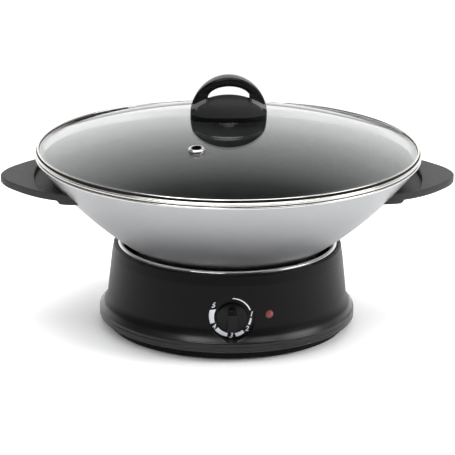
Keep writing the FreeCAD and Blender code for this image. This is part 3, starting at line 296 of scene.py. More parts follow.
def makeFleckGroup():
    # sprayed coating: tiny pale flecks in a dark ground, with a slight orange-peel surface
    group, given, result = newGroup("sprayedCoat", [
        ("Color", color, (0.03, 0.03, 0.03, 1)), ("Fleck Color", color, (0.2, 0.2, 0.2, 1)),
        ("Fleck Amount", number, 0.4), ("Roughness", number, 0.4), ("Roughness Spread", number, 0.08),
        ("Fleck Scale", number, 1400.0)], finishOutputs)
    place = objectPlace(group)
    cells = addNode(group, "ShaderNodeTexVoronoi")
    feed(group, cells.inputs["Vector"], place)
    feed(group, cells.inputs["Scale"], given["Fleck Scale"])
    spots = remap(group, cells.outputs["Distance"], *fleckEdge, 1.0, 0.0)
    mask = calc(group, "MULTIPLY", spots, given["Fleck Amount"], clamp=True)
    feed(group, result["Color"], blendColor(group, mask, given["Color"], given["Fleck Color"]))
    clouds = noise(group, place, patternScale["coatGloss"], 4.0)
    feed(group, result["Roughness"], swing(group, clouds, given["Roughness Spread"], given["Roughness"]))
    feed(group, result["Height"], noise(group, place, patternScale["coatSkin"], 2.0))
    return group


def makePaintedShadeGroup(name, inBore):
    # paints shade on a polished pressing below a height, or within a distance of an upright axis: there the
    # colour darkens and the finish roughens, as painted shade
    axis = [("Axis X", number, 0.0), ("Axis Y", number, 0.0)] if inBore else []
    group, given, result = newGroup(name, [
        ("Color", color, (0.7, 0.7, 0.7, 1)), ("Roughness", number, 0.1), ("Shade Roughness", number, 0.4),
        ("Shade Color", color, (0.1, 0.1, 0.1, 1)), ("Limit", number, 0.01), ("Blend", number, 0.0004),
        *axis], [("Color", color), ("Roughness", number)])
    x, y, measure = splitAxes(group, objectPlace(group))
    if inBore:
        measure = axisDistance(group, calc(group, "SUBTRACT", x, given["Axis X"]),
                               calc(group, "SUBTRACT", y, given["Axis Y"]))
    beyond = calc(group, "SUBTRACT", measure, given["Limit"])
    mask = calc(group, "DIVIDE", beyond, given["Blend"], clamp=True)
    feed(group, result["Color"], blendColor(group, mask, given["Shade Color"], given["Color"]))
    gap = calc(group, "SUBTRACT", given["Roughness"], given["Shade Roughness"])
    rough = calc(group, "ADD", calc(group, "MULTIPLY", gap, mask), given["Shade Roughness"])
    feed(group, result["Roughness"], rough)
    return group


def makeZoneGroup():
    # 1 between two heights and 0 beyond them, with soft ends
    group, given, result = newGroup("heightZone", [
        ("Low", number, 0.0), ("High", number, 0.03), ("Blend", number, 0.002), ("Amount", number, 1.0)],
        [("Mask", number)])
    height = splitAxes(group, objectPlace(group))["Z"]
    rise = calc(group, "DIVIDE", calc(group, "SUBTRACT", height, given["Low"]), given["Blend"], clamp=True)
    fall = calc(group, "DIVIDE", calc(group, "SUBTRACT", given["High"], height), given["Blend"], clamp=True)
    zone = calc(group, "MULTIPLY", rise, fall)
    feed(group, result["Mask"], calc(group, "MULTIPLY", zone, given["Amount"]))
    return group


mouldedGroup = makeMouldedGroup()
spunGroup = makeSpunGroup()
fleckGroup = makeFleckGroup()
shadeBelowGroup = makePaintedShadeGroup("paintedShadeBelow", False)
shadeBoreGroup = makePaintedShadeGroup("paintedShadeBore", True)
zoneGroup = makeZoneGroup()


def newMaterial(name):
    material = bpy.data.materials.new(name)
    material.use_nodes = True
    return material, material.node_tree, material.node_tree.nodes["Principled BSDF"]


def addEffect(tree, group, values):
    effect = addNode(tree, "ShaderNodeGroup", node_tree=group)
    for label, value in values.items():
        effect.inputs[label].default_value = value
    return effect


def blendShader(tree, factor, first, second):
    node = addNode(tree, "ShaderNodeMixShader")
    for socket, value in zip(node.inputs, (factor, first, second)):
        feed(tree, socket, value)
    return node.outputs[0]


def makeMaterial(name, group, groupValues, shaderValues, bumpDepth):
    material, tree, shader = newMaterial(name)
    effect = addEffect(tree, group, groupValues)
    for label, value in shaderValues.items():
        shader.inputs[label].default_value = value
    bump = addNode(tree, "ShaderNodeBump")
    bump.inputs["Distance"].default_value = bumpDepth
    feed(tree, bump.inputs["Height"], effect.outputs["Height"])
    feed(tree, shader.inputs["Normal"], bump.outputs["Normal"])
    feed(tree, shader.inputs["Base Color"], effect.outputs["Color"])
    feed(tree, shader.inputs["Roughness"], effect.outputs["Roughness"])
    return material


def plastic(name, tint, roughness, tone=0.2, grain=2500.0, level=0.5, depth=12 * micron):
    values = {"Color": (*tint, 1), "Tone Spread": tone, "Roughness": roughness, "Roughness Spread": 0.05,
              "Grain Scale": grain}
    return makeMaterial(name, mouldedGroup, values, {"Specular IOR Level": level}, depth)


def metal(name, tint, roughness, spread=0.06, tone=0.08, density=900.0):
    values = {"Color": (*tint, 1), "Tone Spread": tone, "Roughness": roughness, "Roughness Spread": spread,
              "Line Density": density}
    return makeMaterial(name, spunGroup, values, {"Metallic": 1.0}, bumpDepth=1.5 * micron)


def coat(name, tint, fleck, amount, roughness, level=0.5, metallic=0.0, depth=8 * micron):
    values = {"Color": (*tint, 1), "Fleck Color": (*fleck, 1), "Fleck Amount": amount, "Roughness": roughness,
              "Roughness Spread": 0.08, "Fleck Scale": 1400.0}
    return makeMaterial(name, fleckGroup, values, {"Specular IOR Level": level, "Metallic": metallic}, depth)


def addPaintedShade(material, group, values):
    # puts a painted shade effect between a material's finish and its shader
    tree = material.node_tree
    shader = tree.nodes["Principled BSDF"]
    effect = addEffect(tree, group, values)
    for label, target in (("Color", shader.inputs["Base Color"]), ("Roughness", shader.inputs["Roughness"])):
        feed(tree, effect.inputs[label], target.links[0].from_socket)
        feed(tree, target, effect.outputs[label])
    return material


def addPolish(material, low, high, roughness, amount):
    # a glossier skin between two heights, where the mould is polished
    tree = material.node_tree
    shader = tree.nodes["Principled BSDF"]
    zone = addEffect(tree, zoneGroup, {"Low": low, "High": high, "Amount": amount})
    shader.inputs["Coat Roughness"].default_value = roughness
    feed(tree, shader.inputs["Coat Weight"], zone.outputs["Mask"])
    return material


def glass(name, tint):
    # clear glass that lets the lamps through as plain light
    material, tree, shader = newMaterial(name)
    shader.inputs["Roughness"].default_value = 0.0
    shader.inputs["IOR"].default_value = 1.5
    shader.inputs["Transmission Weight"].default_value = 1.0
    effect = addEffect(tree, mouldedGroup, {"Color": (*tint, 1), "Tone Spread": 0.02})
    feed(tree, shader.inputs["Base Color"], effect.outputs["Color"])
    clear = addNode(tree, "ShaderNodeBsdfTransparent")
    clear.inputs["Color"].default_value = (*tint, 1)
    shadow = addNode(tree, "ShaderNodeLightPath").outputs["Is Shadow Ray"]
    surface = blendShader(tree, shadow, shader.outputs[0], clear.outputs[0])
    feed(tree, tree.nodes["Material Output"].inputs["Surface"], surface)
    return material


housingBlack = addPolish(plastic("housingBlack", (0.0045, 0.0045, 0.0048), 0.33, grain=2600.0, level=0.13),
                         low=9 * mm, high=24 * mm, roughness=0.24, amount=0.75)
undersideBlack = plastic("undersideBlack", (0.004, 0.004, 0.004), 0.5, grain=1800.0, level=0.12)
dialBlack = plastic("dialBlack", (0.003, 0.003, 0.0033), 0.18, grain=3200.0, level=0.2)
handleGrey = plastic("handleGrey", (0.034, 0.033, 0.0335), 0.46, grain=1500.0, level=0.16, depth=20 * micron)
gripSatin = plastic("gripSatin", (0.027, 0.027, 0.028), 0.55, grain=2200.0, level=0.03)
# painted light: a lighter copy of the knob's plastic, for the sloping facets that face the top light
gripFacetPaintedLight = plastic("gripFacetPaintedLight", (0.09, 0.09, 0.093), 0.35, grain=2200.0, level=0.25)
gripGloss = plastic("gripGloss", (0.003, 0.003, 0.0032), 0.26, grain=3000.0, level=0.12)
footRubber = plastic("footRubber", (0.02, 0.02, 0.02), 0.8, grain=900.0, level=0.3)
sealSilicone = plastic("sealSilicone", (0.55, 0.55, 0.53), 0.45)
ringNylon = plastic("ringNylon", (0.55, 0.54, 0.5), 0.45)
glandNylon = plastic("glandNylon", (0.018, 0.018, 0.018), 0.4)
blockCream = plastic("blockCream", (0.7, 0.66, 0.55), 0.45)
statBrown = plastic("statBrown", (0.07, 0.035, 0.018), 0.4)
ceramicWhite = plastic("ceramicWhite", (0.75, 0.72, 0.66), 0.6, grain=900.0, depth=30 * micron)
fuseSleeve = plastic("fuseSleeve", (0.7, 0.68, 0.6), 0.85, grain=1100.0, depth=80 * micron)
lampRed = plastic("lampRed", (0.2, 0.042, 0.047), 0.3, grain=1500.0)
scaleWhite = plastic("scaleWhite", (0.93, 0.94, 1.0), 0.5, tone=0.05)
leadBrown = plastic("leadBrown", (0.1, 0.04, 0.02), 0.5)
leadWhite = plastic("leadWhite", (0.7, 0.7, 0.67), 0.7, grain=1300.0, depth=60 * micron)
leadBlue = plastic("leadBlue", (0.02, 0.07, 0.3), 0.5)
leadGreen = plastic("leadGreen", (0.1, 0.3, 0.03), 0.5)
leadGrey = plastic("leadGrey", (0.2, 0.2, 0.2), 0.5)

panSatin = metal("panSatin", (0.53, 0.535, 0.545), 0.42, spread=0.12, tone=0.06, density=700.0)
panRim = metal("panRim", (0.78, 0.78, 0.77), 0.14)
bandBright = metal("bandBright", (0.8, 0.775, 0.745), 0.08, spread=0.03)
beadBright = metal("beadBright", (0.7, 0.68, 0.66), 0.12, spread=0.05)
# painted shade: the dish darkens and roughens below 77.6 mm, where it lies under the pan
dishBright = addPaintedShade(metal("dishBright", (0.7, 0.68, 0.66), 0.12, spread=0.05), shadeBelowGroup, {
    "Shade Color": (0.07, 0.07, 0.07, 1), "Shade Roughness": 0.45, "Limit": 77.6 * mm, "Blend": 0.4 * mm})
# painted shade: the eyelet darkens within its bore, where the hole shows only shade
ventLow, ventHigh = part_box("steam_vent")
eyeletBright = addPaintedShade(metal("eyeletBright", (0.85, 0.84, 0.82), 0.12), shadeBoreGroup, {
    "Shade Color": (0.012, 0.012, 0.012, 1), "Shade Roughness": 0.5, "Limit": 4.7 * mm, "Blend": 0.2 * mm,
    "Axis X": (ventLow[0] + ventHigh[0]) / 2, "Axis Y": (ventLow[1] + ventHigh[1]) / 2})
zincSteel = metal("zincSteel", (0.6, 0.61, 0.62), 0.32)
stainless = metal("stainless", (0.62, 0.61, 0.6), 0.28)
springSteel = metal("springSteel", (0.28, 0.29, 0.32), 0.3)
brass = metal("brass", (0.7, 0.52, 0.25), 0.3)
copperBulb = metal("copperBulb", (0.72, 0.42, 0.28), 0.3)
elementSteel = coat("elementSteel", (0.06, 0.055, 0.05), (0.16, 0.14, 0.12), 0.5, 0.5, metallic=0.8)
nonStick = coat("nonStick", (0.013, 0.013, 0.0135), (0.05, 0.05, 0.05), 0.25, 0.4, level=0.25,
                depth=3 * micron)
# painted shade and painted light: the black goes on the band's furrow, the wall of its foot and the front of
# its lining, the pale on the back of its lining
bandPaintedShade = plastic("bandPaintedShade", (0.008, 0.008, 0.008), 0.6, level=0.15)
bandPaintedLight = plastic("bandPaintedLight", (0.8, 0.8, 0.78), 0.5)
lidClear = glass("lidClear", (0.93, 0.955, 0.95))
lampClear = glass("lampClear", (0.95, 0.9, 0.85))
print("materials made:", len(bpy.data.materials))

nodeFinish = {
    "base_housing": housingBlack, "base_plate": undersideBlack, "rubber_feet": footRubber,
    "base_plate_screws": zincSteel, "spacer_posts": zincSteel, "reflector_dish": dishBright,
    "dish_screws": stainless, "heating_element": elementSteel, "ceramic_bushes": ceramicWhite,
    "element_blades": stainless, "element_supports": stainless, "support_rivets": stainless,
    "thermostat_body": statBrown, "thermostat_bracket": zincSteel, "thermostat_screws": zincSteel,
    "heat_sensor": copperBulb, "sensor_clip": stainless, "thermal_fuse": fuseSleeve, "fuse_strap": stainless,
    "pilot_lens": lampRed, "lens_ring": ringNylon, "neon_lamp": lampClear, "cord_gland": glandNylon,
    "terminal_block": blockCream, "terminal_screws": brass, "block_screws": zincSteel, "earth_tab": brass,
    "earth_rivet": stainless, "live_lead": leadBrown, "load_lead": leadBrown, "fuse_lead": leadWhite,
    "neutral_lead": leadBlue, "earth_lead": leadGreen, "lamp_leads": leadGrey,
    "control_knob": dialBlack, "knob_spring_clip": springSteel, "thermostat_spindle": brass,
    "wok_pan": panSatin, "right_handle": handleGrey, "right_handle_bracket": stainless,
    "right_handle_screw": zincSteel, "left_handle": handleGrey, "left_handle_bracket": stainless,
    "left_handle_screw": zincSteel, "lid_glass": lidClear, "lid_rim": bandBright, "steam_vent": eyeletBright,
    "lid_knob": gripSatin, "lid_knob_base": gripGloss, "lid_screw": stainless, "lid_washer": stainless,
    "lid_seal": sealSilicone,
}
for nodeName, finish in nodeFinish.items():
    for materialSlot in frame["nodes"][nodeName].material_slots:
        materialSlot.material = finish


pan = {
    "floorZ": 66.5, "flatR": 69.3, "rimZ": 165.0, "rimR": 179.4, "landR": 178.7, "wallTop": (178.5, 163.5),
    "wallR": 344.6, "wall": 2.8, "base": 3.5, "bead": 2.1, "beadWaist": 0.45, "coatTop": 158.5,
    "coatDepth": 0.12, "cornerIn": 1.2, "cornerUp": 0.8, "cornerMiddle": (0.3, 0.25), "lipIn": 0.5,
    "lipDrop": 0.4, "innerCornerIn": 1.6, "innerCornerUp": 0.6, "floorRing": 40.0, "cornerSteps": 4,
    "wallSteps": 48, "beadSteps": 8, "landMiddle": (1.5, 0.0001), "landSteps": 3, "brightSteps": 10,
    "coatSteps": 44, "segments": 240,
}


def wallCentre():
    # centre of the wall's arc in the plane of radius and height
    low = Vector((pan["flatR"], pan["floorZ"]))
    high = Vector(pan["wallTop"])
    chord = high - low
    half = chord.length / 2
    across = Vector((-chord.y, chord.x)).normalized()
    return (low + high) / 2 + across * sqrt(pan["wallR"] ** 2 - half ** 2)


def wallRadius(z, inset=0.0):
    centre = wallCentre()
    return centre.x + sqrt((pan["wallR"] - inset) ** 2 - (centre.y - z) ** 2)


def wallStep(low, high, inset, count):
    return [(wallRadius(z, inset), z) for z in evenly(low, high, count)]


def makePan():
    # satin outside, a bright rim, and a dark coating inside up to a line below the rim
    under, rim, coatTop = pan["floorZ"], pan["rimZ"], pan["coatTop"]
    floor = under + pan["base"]
    inside = pan["wall"]
    coated = inside + pan["coatDepth"]
    cornerTop = under + pan["cornerUp"]
    middleIn, middleUp = pan["cornerMiddle"]
    points = [(0, under), (pan["flatR"] - pan["cornerIn"], under)]
    points += arcStep(points[-1], (pan["flatR"] - middleIn, under + middleUp),
                      (wallRadius(cornerTop), cornerTop), pan["cornerSteps"])
    points += wallStep(cornerTop, rim - pan["bead"], 0.0, pan["wallSteps"])
    points += arcStep(points[-1], (pan["rimR"], rim - pan["bead"] * pan["beadWaist"]), (pan["landR"], rim),
                      pan["beadSteps"])
    landIn, landUp = pan["landMiddle"]
    points += arcStep(points[-1], (pan["landR"] - landIn, rim + landUp),
                      (wallRadius(rim, inside) + pan["lipIn"], rim), pan["landSteps"])
    points += wallStep(rim - pan["lipDrop"], coatTop, inside, pan["brightSteps"])
    points += wallStep(coatTop, floor + pan["innerCornerUp"], coated, pan["coatSteps"])
    floorR = wallRadius(floor, coated) - pan["innerCornerIn"]
    points += [(floorR, floor), (pan["floorRing"], floor), (0, floor)]
    bm = lathe(points, pan["segments"])
    for face in bm.faces:
        middle = face.calc_center_median() / mm
        raised = middle.z > (under + floor) / 2
        if raised and middle.xy.length < wallRadius(middle.z, inside / 2):
            face.material_index = 2 if middle.z < coatTop else 1
        elif middle.z > rim - pan["bead"]:
            face.material_index = 1
    finishPiece(bm, "wokPan", "pan", [panSatin, panRim, nonStick], "wok_pan", sharpAngle=50)


makePan()
print("pan made")


dishBead = {"r": 100.6, "z": 79.35, "half": 2.5, "points": 28, "segments": 240}


def makeDishBead():
    # the rolled edge of the reflector dish, standing a little proud of the housing
    turns = [2 * pi * i / dishBead["points"] for i in range(dishBead["points"])]
    outline = [(dishBead["r"] + dishBead["half"] * cos(turn), dishBead["z"] + dishBead["half"] * sin(turn))
               for turn in turns]
    finishPiece(lathe(outline, dishBead["segments"]), "dishBead", "base", [beadBright])


makeDishBead()
print("dish bead made")


# heights of the band are above the pan's rim; its lining is painted pale behind a given depth, as painted
# light, and black in front of it, as painted shade
lid = {
    "glassZ": 166.1, "glass": 4.0, "glassR": 177.3, "domeR": 172.7, "domeRise": 28.2, "hole": 4.0,
    "edge": 1.2, "kneeIn": 1.5, "kneeOut": 3.0, "kneeMiddle": (0.4, 0.12), "domeSteps": 40, "kneeSteps": 5,
    "edgeSteps": 8, "foldSteps": 9, "segments": 256,
    "bandR": 178.9, "bandTop": 4.0, "faceTop": 3.1, "faceIn": 0.05, "bulge": 0.6, "footR": 178.5, "foot": 0.9,
    "footStep": 0.1, "seatGap": 0.02, "heelIn": 0.5, "heelMiddle": (0.15, 0.02), "heelUp": 0.4,
    "shoulderIn": 0.7, "shoulder": 0.25, "grooveR": 177.9, "grooveZ": 2.6, "grooveOut": 0.2, "grooveIn": 0.3,
    "beadR": 175.9, "beadTop": 6.8, "beadDrop": 1.0, "beadShift": 0.1, "sealTop": 6.1, "innerSealTop": 5.7,
    "lapIn": 0.6, "lapDrop": 0.3, "glassHold": 0.2, "hookR": 174.4, "hookH": 1.8, "sheet": 0.8,
    "furrow": (-0.5, 0.15), "slack": 0.2, "paintedLightFrom": 108.0, "seamTurn": -20.5, "seamWidth": 0.28,
}


def domePoints(radius, centreZ, first, last):
    places = [first] + evenly(first, last, lid["domeSteps"])
    return [(r, centreZ + sqrt(radius ** 2 - r ** 2)) for r in places]


def makeGlass():
    # a shallow dome of even thickness, with a flat flange and a round edge
    low, top = lid["glassZ"], lid["glassZ"] + lid["glass"]
    outerR = (lid["domeR"] ** 2 + lid["domeRise"] ** 2) / (2 * lid["domeRise"])
    innerR = outerR - lid["glass"]
    centreZ = top + lid["domeRise"] - outerR
    turnR = sqrt(innerR ** 2 - (low - centreZ) ** 2)
    middleOut, middleUp = lid["kneeMiddle"]
    edge = lid["glassR"] - lid["edge"]
    inner = domePoints(innerR, centreZ, turnR - lid["kneeIn"], lid["hole"])
    points = domePoints(outerR, centreZ, lid["hole"], lid["domeR"] - lid["kneeIn"])
    points += arcStep(points[-1], (lid["domeR"] + middleOut, top + middleUp),
                      (lid["domeR"] + lid["kneeOut"], top), lid["kneeSteps"])
    points.append((edge, top))
    points += arcStep(points[-1], (lid["glassR"], (low + top) / 2), (edge, low), lid["edgeSteps"])
    points.append((turnR + lid["kneeOut"], low))
    points += arcStep(points[-1], (turnR + middleOut, low + middleUp), inner[0], lid["kneeSteps"])
    points += inner[1:]
    bm = lathe(points, lid["segments"])
    finishPiece(bm, "lidGlassDome", "lid", [lidClear], "lid_glass", sharpAngle=60)


def makeBand():
    # folded steel: a tall outer face, a groove, a rolled bead on the glass and a hook inside the pan
    rim = pan["rimZ"]
    flange = lid["glassZ"] + lid["glass"]
    face, bead, groove = lid["bandR"], lid["beadR"], lid["grooveR"]
    hook, foot = lid["hookR"], lid["footR"]
    glassEdge, lap = lid["glassR"] - lid["glassHold"], groove - lid["lapIn"]
    low, high, crest, top = (rim + lid[key] for key in ("foot", "faceTop", "bandTop", "beadTop"))
    seat, under, hookEnd = rim + lid["seatGap"], low - lid["footStep"], rim - lid["hookH"]
    grooveZ, sealZ, innerSealZ = (rim + lid[key] for key in ("grooveZ", "sealTop", "innerSealTop"))
    middleIn, middleUp = lid["heelMiddle"]
    points = profile((hook, hookEnd), [
        (hook + lid["sheet"], hookEnd),
        (hook + lid["sheet"], seat),
        (foot, seat),
        (foot, under),
        (face - lid["heelIn"], under),
        (face - middleIn, low + middleUp, face - lid["faceIn"], low + lid["heelUp"]),
        (face + lid["bulge"], (low + high) / 2, face - lid["faceIn"], high),
        (face - lid["shoulder"], crest - lid["shoulder"], face - lid["shoulderIn"], crest),
        (groove + lid["grooveOut"], crest - lid["shoulder"], groove, grooveZ),
        (groove - lid["grooveIn"], sealZ),
        ((bead + groove) / 2 - lid["beadShift"], top, bead, top - lid["beadDrop"]),
        (bead, innerSealZ),
        (bead, flange),
        (lap, flange),
        (lap, flange - lid["lapDrop"]),
        (glassEdge, flange - lid["lapDrop"]),
        (glassEdge, lid["glassZ"]),
        (hook, lid["glassZ"]),
    ], lid["foldSteps"])
    bm = lathe(points, lid["segments"], 2 * pi - lid["seamWidth"] / face)
    furrowIn, furrowOut = lid["furrow"]
    # painted shade: the foot's wall, the furrow and the front of the lining are painted black; painted light:
    # the back of the lining is painted pale
    for item in bm.faces:
        middle = item.calc_center_median() / mm
        reach = middle.xy.length
        footWall = reach > foot - lid["slack"] and rim < middle.z < under
        furrow = furrowIn < reach - groove < furrowOut and grooveZ - lid["slack"] < middle.z < sealZ
        lining = reach < bead + lid["slack"] and flange < middle.z < innerSealZ
        if lining and middle.y > lid["paintedLightFrom"]:
            item.material_index = 2
        elif footWall or furrow or lining:
            item.material_index = 1
    seamTurn = Matrix.Rotation(radians(lid["seamTurn"]), 3, "Z")
    bmesh.ops.rotate(bm, verts=bm.verts, cent=(0, 0, 0), matrix=seamTurn)
    finishPiece(bm, "lidBand", "lid", [bandBright, bandPaintedShade, bandPaintedLight], "lid_rim",
                sharpAngle=40)


makeGlass()
makeBand()
print("lid made")


# ledgeFront is a half-width, ledgeEdge and ledgeBack are heights: at the slope's start, and the change;
# a facet lies above facetLow and within the half-width facetWide
lidKnob = {
    "z": 202.8, "halfL": 35.5, "halfW": 16.5, "widthTaper": 0.54, "bodyH": 17.9, "heightTaper": 0.58,
    "fullness": 2.7, "endFullness": 1.1, "fullFrom": 20.0, "sectionPoints": 36, "stations": 48,
    "archH": 35.8, "archHalfW": 9.0, "archMin": 2.8, "archTaper": 0.75, "archPoints": 56,
    "windowHalfW": 19.8, "windowSill": 15.7, "windowH": 12.3, "edge": 2.4, "edgeSegments": 5,
    "innerEdge": 0.4, "innerEdgeSegments": 2, "ledgeFrom": 19.4, "ledgeTo": 34.4, "ledgeSteps": 8,
    "slopeFrom": 20.0, "slopeL": 13.0, "ledgeFront": (10.0, -4.2), "ledgeEdge": (14.6, -8.4),
    "ledgeBack": (16.6, -6.2), "ledgeLap": 0.4, "ledgeRound": (0.25, 0.5), "sideRise": (0.3, 0.66),
    "sideLean": (0.7, 0.33), "facetLow": 5.0, "facetWide": 10.1, "facetLean": (0.3, 0.97), "outerFrom": 0.99,
}


def knobTaper(x, power):
    return max(0.0, 1 - (x / lidKnob["halfL"]) ** 2) ** power


def bodyHalfWidth(x):
    return lidKnob["halfW"] * knobTaper(x, lidKnob["widthTaper"])


def archHalfWidth(x):
    return max(lidKnob["archMin"], lidKnob["archHalfW"] * knobTaper(x, lidKnob["archTaper"]))


def loftSections(bm, sections):
    # closed sections, each with the same number of points, joined in a row and capped at both ends
    loops = []
    for section in sections:
        verts = [bm.verts.new(Vector(point) * mm) for point in section]
        loops.append([bm.edges.new((a, b)) for a, b in zip(verts, verts[1:] + verts[:1])])
    for near, far in zip(loops, loops[1:]):
        bmesh.ops.bridge_loops(bm, edges=near + far)
    bmesh.ops.contextual_create(bm, geom=loops[0])
    bmesh.ops.contextual_create(bm, geom=loops[-1])


def bodySection(x):
    # half an oval, fuller in front than behind and squarer towards the body's ends
    wide = bodyHalfWidth(x)
    high = lidKnob["bodyH"] * knobTaper(x, lidKnob["heightTaper"])
    fullness = lidKnob["fullness"] + lidKnob["endFullness"] * min(1.0, (x / lidKnob["fullFrom"]) ** 2)
    section = []
    for j in range(lidKnob["sectionPoints"] + 1):
        turn = pi * j / lidKnob["sectionPoints"]
        power = 2 / fullness if cos(turn) > 0 else 1.0
        y = -copysign(wide * abs(cos(turn)) ** power, cos(turn))
        section.append((x, y, lidKnob["z"] + high * abs(sin(turn)) ** power))
    return section


def addKnobBody(bm):
    stations = lidKnob["stations"]
    loftSections(bm, [bodySection(-lidKnob["halfL"] * cos(pi * i / stations)) for i in range(1, stations)])


def ledgeSection(x, side):
    # the body's side rises from its foot, leans in to the ledge's edge and then slopes up to the arch
    share = (x - lidKnob["slopeFrom"]) / lidKnob["slopeL"]
    front, edgeZ, backZ = (start + change * share for start, change in
                           (lidKnob["ledgeFront"], lidKnob["ledgeEdge"], lidKnob["ledgeBack"]))
    foot, back = bodyHalfWidth(x), archHalfWidth(x) - lidKnob["ledgeLap"]
    roundOut, roundDown = lidKnob["ledgeRound"]
    lowRise, highRise = lidKnob["sideRise"]
    footShare, frontShare = lidKnob["sideLean"]
    half = [(foot, 0.0), (foot, edgeZ * lowRise), (foot * footShare + front * frontShare, edgeZ * highRise),
            (front + roundOut, edgeZ - roundDown), (front, edgeZ), (back, backZ)]
    around = [(-y, z) for y, z in half] + half[::-1]
    return [(side * x, y, lidKnob["z"] + z) for y, z in around]


def isFacet(face):
    # a sloping face between a ledge's edge and the arch
    low = min(vert.co.z for vert in face.verts) / mm - lidKnob["z"]
    wide = max(abs(vert.co.y) for vert in face.verts) / mm
    least, most = lidKnob["facetLean"]
    leaning = least < abs(face.normal.z) < most and abs(face.normal.y) > least
    return leaning and low > lidKnob["facetLow"] and wide < lidKnob["facetWide"]


def addKnobLedges(bm):
    # sloping facets between the arch's feet and the front and back of the body; the facets take a lighter
    # copy of the knob's plastic, as painted light
    places = [lidKnob["ledgeFrom"]] + evenly(lidKnob["ledgeFrom"], lidKnob["ledgeTo"], lidKnob["ledgeSteps"])
    for side in (-1, 1):
        before = set(bm.faces)
        loftSections(bm, [ledgeSection(x, side) for x in places])
        for face in set(bm.faces) - before:
            face.normal_update()
            if isFacet(face):
                face.material_index = 2


def addKnobArch(bm):
    # made a metre to each side of the middle, and then drawn in to the arch's width at each point
    turns = [pi * i / lidKnob["archPoints"] for i in range(lidKnob["archPoints"] + 1)]
    reach, sill = lidKnob["windowHalfW"], lidKnob["windowSill"]
    outer = [(-lidKnob["halfL"] * cos(turn), lidKnob["archH"] * sin(turn)) for turn in turns]
    inner = [(-reach * cos(turn), sill + lidKnob["windowH"] * sin(turn)) for turn in turns[1:-1]]
    inner = [(-reach, 0.0)] + inner + [(reach, 0.0)]
    rows = [[bm.verts.new(Vector((x, -1.0 / mm, lidKnob["z"] + z)) * mm) for x, z in row]
            for row in (outer, inner)]
    edges = [bm.edges.new((a, b)) for row in rows for a, b in zip(row, row[1:])]
    extrudeFaces(bm, bmesh.ops.bridge_loops(bm, edges=edges)["faces"], (0, 2.0, 0))
    for vert in bm.verts:
        vert.co.y *= archHalfWidth(vert.co.x / mm) * mm


def isOuter(vert):
    x, z = vert.co.x / mm, vert.co.z / mm - lidKnob["z"]
    return (x / lidKnob["halfL"]) ** 2 + (z / lidKnob["archH"]) ** 2 > lidKnob["outerFrom"]


def runsAlong(edge):
    # true for an edge along one side of the arch, false for one across it
    a, b = (vert.co.y for vert in edge.verts)
    return abs(a - b) < 2 * mm and a * b > 0


def makeLidKnob():
    bm = bmesh.new()
    addKnobArch(bm)
    bmesh.ops.recalc_face_normals(bm, faces=bm.faces)
    along = [edge for edge in bm.edges if runsAlong(edge)]
    outer = [edge for edge in along if all(isOuter(vert) for vert in edge.verts)]
    inner = [edge for edge in along if not any(isOuter(vert) for vert in edge.verts)]
    bevelEdges(bm, outer, lidKnob["edge"], lidKnob["edgeSegments"])
    inner = [edge for edge in inner if edge.is_valid]
    bevelEdges(bm, inner, lidKnob["innerEdge"], lidKnob["innerEdgeSegments"])
    for face in bm.faces:
        face.material_index = 1
    addKnobBody(bm)
    addKnobLedges(bm)
    bmesh.ops.recalc_face_normals(bm, faces=bm.faces)
    finishPiece(bm, "lidKnobGrip", "lid", [gripSatin, gripGloss, gripFacetPaintedLight], "lid_knob",
                sharpAngle=38)


makeLidKnob()
print("lid knob made")


# a bar's two ends in degrees, its inner and its outer radius at both, and the slant of its far end
dialPrint = {
    "faceY": -107.8, "centreZ": 41.0, "ink": 0.06, "barStep": 3,
    "bars": [((1.5, 69), (16.95, 17.0), (17.7, 18.1), 0), ((94.5, 116), (16.5, 16.2), (17.9, 18.2), 0),
             ((143, 168), (16.0, 16.0), (19.0, 19.4), 3), ((193, 231), (16.0, 16.0), (19.4, 20.0), 0),
             ((251, 288), (16.4, 16.2), (20.6, 21.2), 8)],
    "digits": [("1", 82.0, 17.4), ("2", 130.5, 17.7), ("3", 183, 18.0), ("4", 240.5, 19.0),
               ("5", 302.5, 20.4)],
    "digitSize": 6.8, "digitShear": 0.25, "digitWeight": 0.05,
}

# out is the distance from the dial's face, up and down are along the finger bar
dialKnob = {
    "gap": 0.8, "skirtR": 13.8, "skirtH": 2.6, "skirtEdge": (0.8, 0.25), "hubR": 12.6, "hubH": 3.6,
    "hubStep": 0.5, "sink": 0.6, "barHalfW": 5.4, "faceHalfW": 4.5, "barUp": 10.6, "barDown": -12.0,
    "faceUp": 5.6, "faceDown": -9.6, "faceOut": 14.2, "crown": (0.1, 0.3), "shoulderOut": 7.0,
    "shoulderIn": 0.3, "rampOut": 11.6, "rampUp": 2.2, "noseMiddle": (0.9, 0.6), "noseEnd": (1.3, 1.8),
    "roundFrom": 5.2, "tipWidth": 0.05, "edge": 0.8, "edgeSegments": 4, "arcSteps": 6, "segments": 96,
}


def dialPoint(radius, degrees, lift=0.0):
    # clockwise from the top of the dial, seen from the front
    turn = radians(degrees)
    height = dialPrint["centreZ"] + radius * cos(turn)
    return Vector((radius * sin(turn), dialPrint["faceY"] - lift, height)) * mm


def facingFront(point):
    # takes what lies flat on the origin to a point of the dial, facing the front
    return Matrix.Translation(point) @ Matrix.Rotation(pi / 2, 4, "X")


def dialSkirt():
    low, top, hub = dialKnob["gap"], dialKnob["gap"] + dialKnob["skirtH"], dialKnob["hubH"]
    skirtR, hubR = dialKnob["skirtR"], dialKnob["hubR"]
    edge, middle = dialKnob["skirtEdge"]
    return [(0, low), (skirtR, low), (skirtR, top - edge), (skirtR - middle, top - middle),
            (skirtR - edge, top), (hubR, top), (hubR - dialKnob["hubStep"], hub), (0, hub)]


